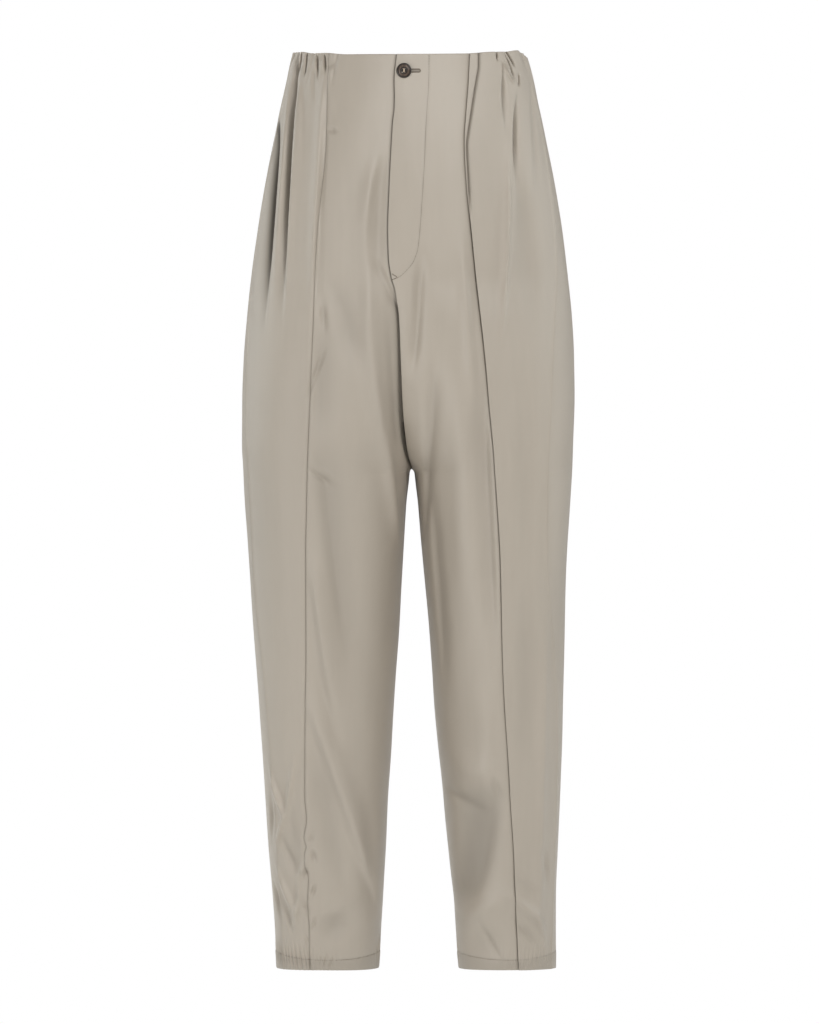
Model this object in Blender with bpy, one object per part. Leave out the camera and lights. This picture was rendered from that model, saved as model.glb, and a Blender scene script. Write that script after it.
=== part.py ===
"""Pleated wide-leg trousers, filled out and hollow, as they hang from the wearer's waist.

The frame is in metres: +Z up, +X towards the garment's left side, the front facing -Y. The origin is
the middle of the waist opening, level with its edge, and everything hangs below it.

Each leg is a stack of oval sections. Above the crotch the two ovals overlap and are cut at the centre
seams, which leaves the seat and front curves of the crotch. Below it they stand apart as two tubes.
A place on a leg is its depth below the waist edge and its share of the way round the leg's oval: 0
at the inseam, 0.5 in front, 1 at the outermost side, 1.5 behind and 2 at the inseam again. "Out" is
the distance from the middle plane towards that leg's own side. Table sizes are millimetres.
"""

import math

import bpy
import numpy as np
from mathutils import Vector

MM = 0.001

WALL = 1.6
SEAM_GAP = 0.3
FLY_GAP = 0.5  # between the fly and the panels that it lies on, whose facets are coarser
LENGTH = 1061.0
CROTCH = 478.0

FULLNESS = 0.1  # how much squarer than an ellipse a section is, at its shoulders
EASING = 0.2  # how early, in parting, the two ovals slow down before they only touch
PULL_SPREAD = 0.8  # how wide a stretch is drawn to the centre seam, for each radian cut off the oval
PULL_LEAST = 0.2
SHARE_STEPS = 4
NEAR_SHARE = 0.005
NEAR_DEPTH = 0.25
HALF_DEPTH_STEP = 0.5
ARCH_HALF = 4.5  # half width of the small arch that parts the legs right under the crotch
ARCH_RISE = 2.5
ARCH_FADE = 60.0
ARCH_SPREAD = 0.38  # angle over which the arch dies away
RIM_REACH = 45.0  # depth over which the ruffled waist edge evens out
HEM_RISE = 55.0  # height over which the hem's dip at its sides builds up
HEM_DIP = 8.0

CENTRE_COLUMNS = 7
SIDE_COLUMNS = 12
BACK_COLUMNS = 24
FLY_COLUMNS = 5

SECTION_DEPTHS = (
    0, 10, 24, 42, 64, 90, 120, 155, 195, 235, 275, 315, 355, 390, 420, 443, 459, 469, 475,
    CROTCH, 481, 500, 535, 580, 630, 690, 750, 810, 870, 930, 985, 1020, 1045, LENGTH,
)  # fmt: skip


def table(columns, rows):
    """A table as one array for each named column."""
    return dict(zip(columns.split(), np.array(rows, float).T))


RIGHT_LEG = table(
    "depth outer inseam panel_seam side_seam",
    (
        (0, 136, 0, 94, 135),
        (30, 144, 0, 95.5, 142.5),
        (60, 151, 0, 96, 149.5),
        (100, 160, 0, 97, 158),
        (150, 170, 0, 101.5, 168),
        (200, 178.5, 0, 106, 176),
        (250, 186, 0, 109, 183.5),
        (300, 191, 0, 111.5, 188),
        (350, 194.5, 0, 114, 189.5),
        (400, 195.5, 0, 116, 190),
        (450, 195.5, 0, 118, 188.5),
        (478, 194, -1, 119, 187),
        (520, 192, 4.5, 120, 185),
        (570, 189, 8.5, 121, 182.5),
        (620, 186.5, 11.5, 121, 179.5),
        (680, 183, 14.5, 121, 173.5),
        (740, 179, 18.5, 122, 167.5),
        (800, 175, 22, 123, 162.5),
        (860, 171.5, 26, 123.5, 158.5),
        (920, 168, 29, 123, 155),
        (980, 163.5, 32.5, 120, 152),
        (1061, 159, 37, 118, 149),
    ),
)
LEFT_LEG = table(
    "depth outer inseam panel_seam side_seam",
    (
        (0, 132, 0, 67, 128),
        (30, 140.5, 0, 65.5, 137),
        (60, 148, 0, 63, 144),
        (100, 156.5, 0, 60.5, 152),
        (150, 166.5, 0, 63, 159.5),
        (200, 174.5, 0, 68, 165),
        (250, 181, 0, 73, 167),
        (300, 186, 0, 79, 164.5),
        (350, 188.5, 0, 84.5, 161.5),
        (400, 189.5, 0, 89, 159.5),
        (450, 188.5, 0, 94, 157),
        (478, 188, 1, 96, 156),
        (520, 186.5, 6.5, 99, 155),
        (570, 184, 12, 102, 155.5),
        (620, 182, 17, 103.5, 159.5),
        (680, 180.5, 22.5, 105, 165),
        (740, 179, 28, 107.5, 168.5),
        (800, 177, 33, 111.5, 169.5),
        (860, 174.5, 39, 115, 168.5),
        (920, 173, 44, 119, 167),
        (980, 171.5, 49, 121.5, 166),
        (1061, 171.5, 56, 125.5, 164),
    ),
)
# front and back: how far the cloth stands before and behind its sides. side_y: where the sides are.
FORM = table(
    "depth front back side_y",
    (
        (0, 90, 98, 0),
        (50, 101, 112, 1),
        (100, 110, 126, 2),
        (150, 116, 137, 3),
        (200, 120, 143, 4),
        (250, 123, 146, 5),
        (300, 124.5, 146, 6),
        (350, 124, 143, 7),
        (400, 122, 138, 8),
        (450, 119, 131, 8),
        (478, 117, 127, 8),
        (520, 113, 121, 8),
        (570, 108, 115, 8),
        (620, 103, 110, 8),
        (680, 97, 103, 8),
        (740, 91, 96, 8),
        (800, 85, 90, 9),
        (860, 79, 83, 10),
        (920, 73, 76, 11),
        (980, 67, 70, 12),
        (1061, 60, 63, 13),
    ),
)
# front_x and back_x: the centre seams, towards +X. The partings say how far the two legs' ovals have
# moved apart there: 0 is one oval round the body and 1 is two that only touch.
CENTRE = table(
    "depth front_x back_x front_parting back_parting",
    (
        (0, -8, -2, 0, 0),
        (60, -11, -2, 0, 0),
        (120, -15, -2, 0, 0),
        (180, -18.5, -2, 0, 0.04),
        (250, -18.5, -2, 0, 0.16),
        (300, -13.5, -1, 0.2, 0.28),
        (350, -11.5, 0, 0.4, 0.42),
        (400, -9.5, 0, 0.61, 0.58),
        (440, -6, 0, 0.8, 0.76),
        (460, -3, 0, 0.9, 0.88),
        (470, -0.5, 0.5, 0.955, 0.95),
        (478, 1, 1, 1, 1),
    ),
)
# rise: how much higher than level the waist edge stands, at each share of the way round.
RIM = table(
    "share right left",
    (
        (0.5, 0, 0),
        (0.67, 0, 1),
        (0.75, 2, 3),
        (0.81, 1, 2),
        (0.875, 2, 5),
        (0.94, 0, 0),
        (1, -3, -10),
        (1.075, -4, -7),
        (1.2, -2, -3),
        (1.5, 0, 0),
    ),
)

# One row for each fold on the front: the leg, the depths and the distances out where it begins and
# ends, its half width towards the centre and towards the side, its lift (a valley's is negative), and
# the share of its length over which it builds up and dies away.
FRONT_FOLDS = (
    ("right", "deep side pleat", -6, 130, 305, 156, 5, 11, -9, 0, 0.7),
    ("right", "second side pleat", 70, 152, 305, 169.5, 5, 9, -5, 0.3, 0.5),
    ("right", "short gather", -4, 119.5, 60, 121, 4, 5, -4, 0, 0.7),
    ("right", "gather by the flat pleat", -4, 108, 75, 102, 4, 6, -4.5, 0, 0.8),
    ("right", "gather at the seam", -4, 98, 45, 99, 4, 4, -4, 0, 0.8),
    ("right", "ridge by the seam", 50, 104, 330, 115, 6, 7, 2.5, 0.3, 0.4),
    ("right", "front ridge", 110, 47, 470, 31, 14, 13, 3.5, 0.4, 0.3),
    ("right", "trough by the fly", 250, 28, 466, 14, 9, 9, -3.5, 0.4, 0.2),
    ("right", "thigh trough", 290, 104, 640, 87, 13, 13, -4, 0.3, 0.4),
    ("right", "shin ridge", 590, 113, 1010, 52, 13, 13, 4, 0.25, 0.25),
    ("right", "shin trough", 600, 84, 900, 33, 13, 12, -4, 0.3, 0.3),
    ("right", "ankle crumple", 850, 142, 985, 128, 12, 12, -3.5, 0.4, 0.4),
    ("left", "tuck edge", -4, 78, 185, 70, 3, 6, -3.5, 0, 0.5),
    ("left", "short gather", -4, 96, 40, 97, 4, 4, -3.5, 0, 0.8),
    ("left", "middle gather", -2, 104, 118, 106, 4, 5, -4.5, 0, 0.6),
    ("left", "hooked gather", -4, 107, 40, 127, 4, 5, -4.5, 0, 0.4),
    ("left", "side gather", 34, 122, 190, 121, 5, 7, -5, 0.3, 0.6),
    ("left", "hip ridge", 90, 110, 330, 113, 7, 9, 3, 0.4, 0.4),
    ("left", "valley by the fly", 250, 4, 466, 17, 9, 10, -3.5, 0.4, 0.2),
    ("left", "thigh ridge", 330, 60, 640, 66, 18, 16, 3, 0.4, 0.4),
    ("left", "inseam trough", 470, 22, 760, 42, 9, 14, -3.5, 0.3, 0.4),
    ("left", "shin ridge", 600, 157, 1045, 148, 9, 9, 3, 0.3, 0.2),
    ("left", "ankle crumple", 885, 48, 960, 100, 13, 12, -4, 0.4, 0.4),
)
# The same for the back, whose depths are met by shares of the way round.
BACK_FOLDS = (
    ("right", "seat fold", 395, 1.62, 560, 1.42, 12, 14, -5, 0.4, 0.5),
    ("right", "thigh fold", 500, 1.86, 650, 1.3, 13, 14, -4, 0.4, 0.5),
    ("right", "knee fold", 640, 1.72, 745, 1.2, 12, 13, -4, 0.4, 0.4),
    ("right", "calf fold", 800, 1.3, 960, 1.7, 12, 13, -3.5, 0.4, 0.4),
    ("left", "seat fold", 405, 1.6, 545, 1.37, 12, 14, -5, 0.4, 0.5),
    ("left", "thigh fold", 520, 1.9, 640, 1.36, 13, 14, -4, 0.4, 0.5),
    ("left", "knee fold", 655, 1.64, 765, 1.16, 12, 13, -4, 0.4, 0.4),
    ("left", "calf fold", 780, 1.24, 940, 1.66, 12, 13, -3.5, 0.4, 0.4),
)
# The gathers that the waist's elastic draws in behind: the share where each valley lies, how deep it
# is and how far down it runs, alike on both legs.
BACK_GATHERS = table(
    "share lift reach",
    (
        (1.05, -5, 190),
        (1.13, -4, 130),
        (1.215, -4.5, 170),
        (1.295, -3.5, 110),
        (1.38, -4, 150),
        (1.46, -3, 90),
    ),
)
GATHER_WIDTH = 9.0
GATHER_FADES = (0.0, 0.9)  # they start at the waist edge and die away over nearly their whole length

# The left side panel's folded edge stands proud over the centre panel.
LAP_LIFT = 2.2
LAP_WIDTH = 9.0

# The fly: its free edge and the rounded line that it is sewn on, both towards +X.
FLY = table(
    "depth edge stitch",
    (
        (0, -16, 21),
        (30, -19, 21),
        (60, -20.5, 19.5),
        (100, -22.5, 18),
        (150, -24.5, 17),
        (200, -26, 14),
        (219, -25.5, 10),
        (234, -24.5, 3),
        (246, -23, -7),
        (253, -21.5, -14.5),
    ),
)
FLY_DEPTHS = (0, 10, 24, 42, 64, 90, 120, 155, 195, 210, 222, 233, 242, 248, 253)

BUTTON_X = -8.0
BUTTON_DEPTH = 19.0
BUTTON_RADIUS = 8.5
BUTTON_SIDES = 28
HOLE_RADIUS = 0.9
HOLE_SPACING = 2.6
HOLE_SIDES = 8
DRILL_FROM = -1.0
DRILL_TO = 4.0
# The button's turned outline: distance from its axis and height over its back.
BUTTON_PROFILE = (
    (0, 0),
    (6.9, 0),
    (8.1, 0.7),
    (8.5, 1.7),
    (8.1, 2.7),
    (7.2, 3.0),
    (6.3, 2.6),
    (5.6, 1.8),
    (0, 1.6),
)

SHARP_ANGLE = 50.0

CLOTH_COLOUR = (0.45, 0.40, 0.335, 1.0)
CLOTH_ROUGHNESS = 0.75
BUTTON_COLOUR = (0.065, 0.042, 0.03, 1.0)
BUTTON_ROUGHNESS = 0.35

LEGS = {"right": (-1.0, RIGHT_LEG), "left": (1.0, LEFT_LEG)}


def clear_scene():
    for old in list(bpy.data.objects):
        bpy.data.objects.remove(old, do_unlink=True)


def ease(value):
    """0 to 1 with no slope at either end."""
    value = np.clip(value, 0.0, 1.0)
    return value * value * (3.0 - 2.0 * value)


def smooth(rows, column, place, along="depth"):
    """One column of a table read anywhere, on cubics that never overshoot its rows."""
    at, value = rows[along], rows[column]
    step = np.diff(at)
    rise = np.diff(value) / step
    slope = np.concatenate([rise[:1], np.zeros(len(at) - 2), rise[-1:]])
    turning = rise[:-1] * rise[1:] <= 0
    total = np.where(turning, 1.0, rise[:-1] + rise[1:])
    slope[1:-1] = np.where(turning, 0.0, 2.0 * rise[:-1] * rise[1:] / total)
    k = np.clip(np.searchsorted(at, place, side="right") - 1, 0, len(at) - 2)
    u = np.clip((place - at[k]) / step[k], 0.0, 1.0)
    start = value[k] + u * u * (3.0 - 2.0 * u) * (value[k + 1] - value[k])
    bend = u * (1.0 - u) ** 2 * slope[k] - u * u * (1.0 - u) * slope[k + 1]
    return start + bend * step[k]


def oval(leg, half, depth):
    """(middle, half width, first angle, pull) of a leg's front or back oval, in distances out.

    The angle is 0 at the oval's inner end. The oval parts from the other leg's with an eased end, it
    is cut at its first angle, and the pull is what brings that point back to the centre seam.
    """
    sign, rows = LEGS[leg]
    seam = sign * smooth(CENTRE, half + "_x", depth)
    overlap = 1.0 - smooth(CENTRE, half + "_parting", depth)
    below = depth > CROTCH
    inner = np.where(below, smooth(rows, "inseam", depth), seam)
    overlap = np.where(below, 0.0, overlap)
    eased = 1.0 - overlap * (1.0 - np.exp(-overlap / EASING))
    width = (smooth(rows, "outer", depth) - inner) / (1.0 + eased)
    pull = (1.0 - overlap - eased) * width
    return inner + eased * width, width, np.arccos(np.clip(1.0 - overlap, -1.0, 1.0)), pull


def drawing(angle, first, pull):
    """How far out a point is drawn so that the oval's cut end meets the centre seam."""
    spread = PULL_LEAST + PULL_SPREAD * first
    return pull * np.exp(-(((angle - first) / spread) ** 2))


def form(leg, depth, share):
    """(points, outward directions) on the leg's plain form, in millimetres.

    A point is at middle - width * cos(angle) out and half depth * sin(angle) before or behind the
    side line, made squarer by FULLNESS. The direction is the slope of the oval's own equation, with
    the change of the oval over 1 mm of depth as its upright part.
    """
    depth, share = np.broadcast_arrays(np.asarray(depth, float), np.asarray(share, float))
    sign = LEGS[leg][0]
    is_front = share <= 1.0
    facing = np.where(is_front, -1.0, 1.0)

    def sized(at_depth):
        front, back = oval(leg, "front", at_depth), oval(leg, "back", at_depth)
        middle, width, first, pull = (np.where(is_front, f, b) for f, b in zip(front, back))
        reach = smooth(FORM, "front", at_depth)
        reach = np.where(is_front, reach, smooth(FORM, "back", at_depth))
        return middle, width, first, pull, reach, smooth(FORM, "side_y", at_depth)

    middle, width, first, pull, reach, side_y = sized(depth)
    angle = math.pi * np.where(is_front, share, 2.0 - share)
    fuller = 1.0 + FULLNESS * np.cos(angle) ** 2
    out = middle - width * np.cos(angle)
    under = np.maximum(depth - CROTCH, 0.0)
    arch = ARCH_HALF * (1.0 - np.exp(-under / ARCH_RISE)) * np.exp(-under / ARCH_FADE)
    drawn = out + arch * np.exp(-((angle / ARCH_SPREAD) ** 2)) + drawing(angle, first, pull)
    y = side_y + facing * reach * np.sin(angle) * fuller

    def inside(at_depth):
        middle_, width_, _, _, reach_, side_ = sized(at_depth)
        return ((out - middle_) / width_) ** 2 + ((y - side_) / (reach_ * fuller)) ** 2

    direction = np.stack(
        [
            sign * 2.0 * (out - middle) / width**2,
            2.0 * (y - side_y) / (reach * fuller) ** 2,
            inside(depth - HALF_DEPTH_STEP) - inside(depth + HALF_DEPTH_STEP),
        ],
        axis=-1,
    )
    direction /= np.linalg.norm(direction, axis=-1, keepdims=True)
    dip = HEM_DIP * np.cos(angle) ** 2 * ease((depth - LENGTH + HEM_RISE) / HEM_RISE)
    lift = smooth(RIM, leg, share, along="share") * ease(1.0 - depth / RIM_REACH)
    return np.stack([sign * drawn, y, lift - depth - dip], axis=-1), direction


def share_at(leg, depth, out):
    """The share of the way round where the leg's front is this far out."""
    middle, width, first, pull = oval(leg, "front", np.asarray(depth, float))
    angle = math.pi
    for _ in range(SHARE_STEPS):
        plain = out - drawing(angle, first, pull)
        angle = np.arccos(np.clip((middle - plain) / width, -1.0, 1.0))
    return angle / math.pi


def centre_share(leg, half, depth):
    """The share where a leg's front or back is cut at the centre seam, or meets the inseam."""
    cut = oval(leg, half, np.asarray(depth, float))[2] / math.pi
    return cut if half == "front" else 2.0 - cut


def girth_rate(leg, depth, share):
    """Millimetres of cloth for each unit of share, at this place."""
    span = form(leg, depth, share + NEAR_SHARE)[0] - form(leg, depth, share - NEAR_SHARE)[0]
    return np.linalg.norm(span, axis=-1) / (2.0 * NEAR_SHARE)


def crease(leg, depth, share, middle, along, widths, lift, fades):
    """The height of one fold: a bell across it, wider on one side, that fades towards its ends."""
    across = (share - middle) * girth_rate(leg, depth, share)
    width = np.where(across < 0.0, widths[0], widths[1])
    build, die = fades
    strength = ease(along / build) if build else np.where(along < 0.0, 0.0, 1.0)
    strength = strength * ease((1.0 - along) / die)
    return lift * strength * np.exp(-((across / width) ** 2))


def folds(leg, depth, share):
    """The height of every fold together, out from the plain form."""
    height = np.zeros(np.broadcast(depth, share).shape)
    for rows, placed_by_out in ((FRONT_FOLDS, True), (BACK_FOLDS, False)):
        for of_leg, _, top, first, bottom, last, inner, outer, lift, build, die in rows:
            if of_leg != leg:
                continue
            along = (depth - top) / (bottom - top)
            middle = first + (last - first) * np.clip(along, 0.0, 1.0)
            if placed_by_out:
                middle = share_at(leg, depth, middle)
            height += crease(leg, depth, share, middle, along, (inner, outer), lift, (build, die))
    widths = (GATHER_WIDTH, GATHER_WIDTH)
    for middle, lift, reach in zip(*(BACK_GATHERS[name] for name in ("share", "lift", "reach"))):
        height += crease(leg, depth, share, middle, depth / reach, widths, lift, GATHER_FADES)
    return height


def seam_curve_direction(leg, half, depth):
    """Outward direction of the centre seam within its own upright plane."""
    above, below = np.maximum(depth - NEAR_DEPTH, 0.0), np.minimum(depth + NEAR_DEPTH, CROTCH)
    run = form(leg, below, centre_share(leg, half, below))[0]
    run = run - form(leg, above, centre_share(leg, half, above))[0]
    facing = -1.0 if half == "front" else 1.0
    direction = np.stack([np.zeros(len(depth)), -facing * run[:, 2], facing * run[:, 1]], axis=-1)
    return direction / np.linalg.norm(direction, axis=-1, keepdims=True)


def keep_to_own_side(leg, half, points, depth):
    """Points above the crotch held half a seam gap from the centre seam's plane."""
    sign = LEGS[leg][0]
    seam = sign * smooth(CENTRE, half + "_x", -points[..., 2])
    out = np.maximum(sign * points[..., 0], seam + SEAM_GAP / 2.0)
    points[..., 0] = np.where(depth <= CROTCH, sign * out, points[..., 0])
    return points


def panel_grid(leg, half, first, last, columns, centre_column, lap):
    """(outer, inner) grids of a panel between two shares, with half a seam gap left at each edge.

    centre_column is the panel's edge on the centre seam, if it has one, and lap is how far its first
    edge stands proud.
    """
    depth = np.array(SECTION_DEPTHS, float)[:, None]
    first = first + SEAM_GAP / 2.0 / girth_rate(leg, depth, first)
    last = last - SEAM_GAP / 2.0 / girth_rate(leg, depth, last)
    share = first + (last - first) * np.linspace(0.0, 1.0, columns + 1)
    points, direction = form(leg, depth, share)
    if centre_column is not None:
        above = depth[:, 0] <= CROTCH
        direction[above, centre_column] = seam_curve_direction(leg, half, depth[above, 0])
    height = folds(leg, depth, share)
    from_seam = (share - first) * girth_rate(leg, depth, share)
    height = height + lap * np.exp(-from_seam / LAP_WIDTH)
    outer = points + direction * height[..., None]
    inner = outer - direction * WALL
    return (keep_to_own_side(leg, half, side, depth) for side in (outer, inner))


def closed_wall(name, outer, inner, mirrored, material):
    """One object from two grids of points joined round their edge, as triangles."""
    rows, columns = outer.shape[:2]
    index = np.arange(rows * columns).reshape(rows, columns)
    a, b, c, d = index[:-1, :-1], index[:-1, 1:], index[1:, 1:], index[1:, :-1]
    sheet = np.concatenate([np.stack([a, b, c], -1), np.stack([a, c, d], -1)]).reshape(-1, 3)
    edge = np.concatenate([index[0, :-1], index[:-1, -1], index[-1, :0:-1], index[:0:-1, 0]])
    after = np.roll(edge, -1)
    under = rows * columns
    band = np.concatenate(
        [np.stack([after, edge, edge + under], -1), np.stack([after, edge + under, after + under], -1)]
    )
    faces = np.concatenate([sheet, sheet[:, ::-1] + under, band])
    if mirrored:
        faces = faces[:, ::-1]
    points = np.concatenate([outer.reshape(-1, 3), inner.reshape(-1, 3)]) * MM
    return add_mesh(name, points.tolist(), faces.tolist(), material)


def add_mesh(name, points, faces, material):
    mesh = bpy.data.meshes.new(name)
    mesh.from_pydata(points, [], faces)
    mesh.materials.append(material)
    mesh.shade_smooth()
    mesh.set_sharp_from_angle(angle=math.radians(SHARP_ANGLE))
    made = bpy.data.objects.new(name, mesh)
    bpy.context.scene.collection.objects.link(made)
    return made


def plain_material(name, colour, roughness):
    material = bpy.data.materials.new(name)
    material.use_nodes = True
    shader = material.node_tree.nodes["Principled BSDF"]
    shader.inputs["Base Color"].default_value = colour
    shader.inputs["Roughness"].default_value = roughness
    shader.inputs["Metallic"].default_value = 0.0
    return material


def add_panels(leg):
    """The three pieces of one leg: front centre, front side and back."""
    depth = np.array(SECTION_DEPTHS, float)[:, None]
    rows = LEGS[leg][1]
    panel_seam = share_at(leg, depth, smooth(rows, "panel_seam", depth))
    side_seam = share_at(leg, depth, smooth(rows, "side_seam", depth))
    centre_front = centre_share(leg, "front", depth)
    centre_back = centre_share(leg, "back", depth)
    lap = LAP_LIFT if leg == "left" else 0.0
    pieces = (
        ("front_centre_" + leg, "front", centre_front, panel_seam, CENTRE_COLUMNS, 0, 0.0),
        ("front_side_" + leg, "front", panel_seam, side_seam, SIDE_COLUMNS, None, lap),
        ("back_" + leg, "back", side_seam, centre_back, BACK_COLUMNS, -1, 0.0),
    )
    for name, half, first, last, columns, centre_column, lift in pieces:
        outer, inner = panel_grid(leg, half, first, last, columns, centre_column, lift)
        cloth = plain_material(name + "_cloth", CLOTH_COLOUR, CLOTH_ROUGHNESS)
        closed_wall(name, outer, inner, leg == "left", cloth)


def front_place(x, depth):
    """(points, outward directions) on the front's cloth at distances towards +X."""
    right = form_with_folds("right", depth, share_at("right", depth, -x))
    left = form_with_folds("left", depth, share_at("left", depth, x))
    on_right = (x < smooth(CENTRE, "front_x", depth))[..., None]
    return (np.where(on_right, on_r, on_l) for on_r, on_l in zip(right, left))


def form_with_folds(leg, depth, share):
    points, direction = form(leg, depth, share)
    return points + direction * folds(leg, depth, share)[..., None], direction


def add_fly():
    """The fly, laid on both front panels from its free edge to the line that it is sewn on."""
    depth = np.array(FLY_DEPTHS, float)[:, None]
    edge, stitch = smooth(FLY, "edge", depth), smooth(FLY, "stitch", depth)
    x = edge + (stitch - edge) * np.linspace(0.0, 1.0, FLY_COLUMNS + 1)
    points, direction = front_place(x, depth)
    inner = points + direction * FLY_GAP
    outer = inner + direction * WALL
    closed_wall("fly", outer, inner, True, plain_material("fly_cloth", CLOTH_COLOUR, CLOTH_ROUGHNESS))


def turned(name, profile, sides, material):
    """A closed turned body round Z, from (radius, height) points that begin and end on the axis."""
    angle = np.arange(sides) * 2.0 * math.pi / sides
    rings = [
        np.stack([r * np.cos(angle), r * np.sin(angle), np.full(sides, h)], -1)
        for r, h in profile[1:-1]
    ]
    points = np.concatenate(rings + [[(0, 0, profile[0][1])], [(0, 0, profile[-1][1])]]) * MM
    index = np.arange(len(rings) * sides).reshape(len(rings), sides)
    after = np.roll(index, -1, axis=1)
    bottom, top = len(rings) * sides, len(rings) * sides + 1
    side = np.stack([index[:-1], after[:-1], after[1:], index[1:]], -1).reshape(-1, 4).tolist()
    caps = [(bottom, b, a) for a, b in zip(index[0], after[0])]
    caps += [(top, a, b) for a, b in zip(index[-1], after[-1])]
    return add_mesh(name, points.tolist(), side + [tuple(map(int, cap)) for cap in caps], material)


def add_button():
    """The button, its back on the fly, with four holes cut through its sunk middle."""
    horn = plain_material("button_horn", BUTTON_COLOUR, BUTTON_ROUGHNESS)
    button = turned("button", BUTTON_PROFILE, BUTTON_SIDES, horn)
    drill_profile = (
        (0, DRILL_FROM),
        (HOLE_RADIUS, DRILL_FROM),
        (HOLE_RADIUS, DRILL_TO),
        (0, DRILL_TO),
    )
    for across in (-0.5, 0.5):
        for up in (-0.5, 0.5):
            drill = turned("hole_cutter", drill_profile, HOLE_SIDES, horn)
            drill.location = Vector((across, up, 0.0)) * HOLE_SPACING * MM
            drill.parent = button
            drill.hide_render = True
            drill.display_type = "WIRE"
            cut = button.modifiers.new("hole", "BOOLEAN")
            cut.object = drill
    x, depth = np.array([BUTTON_X]), np.array([BUTTON_DEPTH])
    points, direction = front_place(x, depth)
    seat = points[0] + direction[0] * (FLY_GAP + WALL + SEAM_GAP)
    button.location = Vector(seat.tolist()) * MM
    button.rotation_euler = Vector(direction[0].tolist()).to_track_quat("Z", "Y").to_euler()


def main():
    clear_scene()
    for leg in LEGS:
        add_panels(leg)
    add_fly()
    add_button()


main()
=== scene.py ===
"""Pleated wide-leg trousers: the cloth, sewing and button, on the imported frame.

Sizes in the tables are millimetres. A place on a leg is its depth below the waist edge and its share of
the way round the leg's oval: 0 at the inseam, 0.5 in front, 1 at the outermost side, 1.5 behind and 2
at the inseam again. "Out" is the distance from the middle plane towards that leg's own side.
"""

import math

import bpy
import numpy as np
from mathutils import Euler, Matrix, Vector


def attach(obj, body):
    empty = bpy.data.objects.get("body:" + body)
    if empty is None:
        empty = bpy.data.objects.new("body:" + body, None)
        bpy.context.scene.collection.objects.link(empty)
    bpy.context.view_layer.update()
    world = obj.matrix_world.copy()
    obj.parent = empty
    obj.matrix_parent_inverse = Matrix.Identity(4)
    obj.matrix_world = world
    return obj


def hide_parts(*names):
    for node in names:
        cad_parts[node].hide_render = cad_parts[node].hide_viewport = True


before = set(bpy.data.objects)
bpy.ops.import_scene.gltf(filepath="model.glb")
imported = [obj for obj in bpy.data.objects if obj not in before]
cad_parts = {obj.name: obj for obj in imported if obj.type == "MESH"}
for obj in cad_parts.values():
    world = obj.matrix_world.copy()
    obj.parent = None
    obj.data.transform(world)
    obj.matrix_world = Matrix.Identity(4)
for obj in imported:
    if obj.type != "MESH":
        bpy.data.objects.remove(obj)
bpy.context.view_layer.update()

bl_info = {
    "name": "Pleated wide-leg trousers",
    "version": (1, 0, 0),
    "blender": (4, 5, 0),
    "location": "View3D > Sidebar > Trousers",
    "description": "Builds the cloth, sewing and button of the trousers as surfaces worked out from tables",
    "category": "Add Mesh",
}

MM = 0.001

LENGTH = 1061.0
CROTCH = 478.0
FULLNESS = 0.1  # how much squarer than an ellipse a section is, at its shoulders
EASING = 0.2  # how early, in parting, the two ovals slow down before they only touch
PULL_SPREAD = 0.8  # how wide a stretch is drawn to the centre seam, for each radian cut off the oval
PULL_LEAST = 0.2
SHARE_STEPS = 4
NEAR_SHARE = 0.005
NEAR_DEPTH = 0.25
HALF_DEPTH_STEP = 0.5
ARCH_HALF = 4.5  # half width of the small arch that parts the legs right under the crotch
ARCH_RISE = 2.5
ARCH_FADE = 60.0
ARCH_SPREAD = 0.38  # angle over which the arch dies away
RIM_REACH = 45.0  # depth over which the ruffled waist edge evens out
HEM_RISE = 55.0  # height over which the hem's dip at its sides builds up
HEM_DIP = 8.0


def table(columns, rows):
    """A table as one array for each named column."""
    return dict(zip(columns.split(), np.array(rows, float).T))


RIGHT_LEG = table(
    "depth outer inseam panel_seam side_seam",
    (
        (0, 136, 0, 94, 135),
        (30, 144, 0, 95.5, 142.5),
        (60, 151, 0, 96, 149.5),
        (100, 160, 0, 97, 158),
        (150, 170, 0, 101.5, 168),
        (200, 178.5, 0, 106, 176),
        (250, 186, 0, 109, 183.5),
        (300, 191, 0, 111.5, 188),
        (350, 194.5, 0, 114, 189.5),
        (400, 195.5, 0, 116, 190),
        (450, 195.5, 0, 118, 188.5),
        (478, 194, -1, 119, 187),
        (520, 192, 4.5, 120, 185),
        (570, 189, 8.5, 121, 182.5),
        (620, 186.5, 11.5, 121, 179.5),
        (680, 183, 14.5, 121, 173.5),
        (740, 179, 18.5, 122, 167.5),
        (800, 175, 22, 123, 162.5),
        (860, 171.5, 26, 123.5, 158.5),
        (920, 168, 29, 123, 155),
        (980, 163.5, 32.5, 120, 152),
        (1061, 159, 37, 118, 149),
    ),
)
LEFT_LEG = table(
    "depth outer inseam panel_seam side_seam",
    (
        (0, 132, 0, 67, 128),
        (30, 140.5, 0, 65.5, 137),
        (60, 148, 0, 63, 144),
        (100, 156.5, 0, 60.5, 152),
        (150, 166.5, 0, 63, 159.5),
        (200, 174.5, 0, 68, 165),
        (250, 181, 0, 73, 167),
        (300, 186, 0, 79, 164.5),
        (350, 188.5, 0, 84.5, 161.5),
        (400, 189.5, 0, 89, 159.5),
        (450, 188.5, 0, 94, 157),
        (478, 188, 1, 96, 156),
        (520, 186.5, 6.5, 99, 155),
        (570, 184, 12, 102, 155.5),
        (620, 182, 17, 103.5, 159.5),
        (680, 180.5, 22.5, 105, 165),
        (740, 179, 28, 107.5, 168.5),
        (800, 177, 33, 111.5, 169.5),
        (860, 174.5, 39, 115, 168.5),
        (920, 173, 44, 119, 167),
        (980, 171.5, 49, 121.5, 166),
        (1061, 171.5, 56, 125.5, 164),
    ),
)
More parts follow.
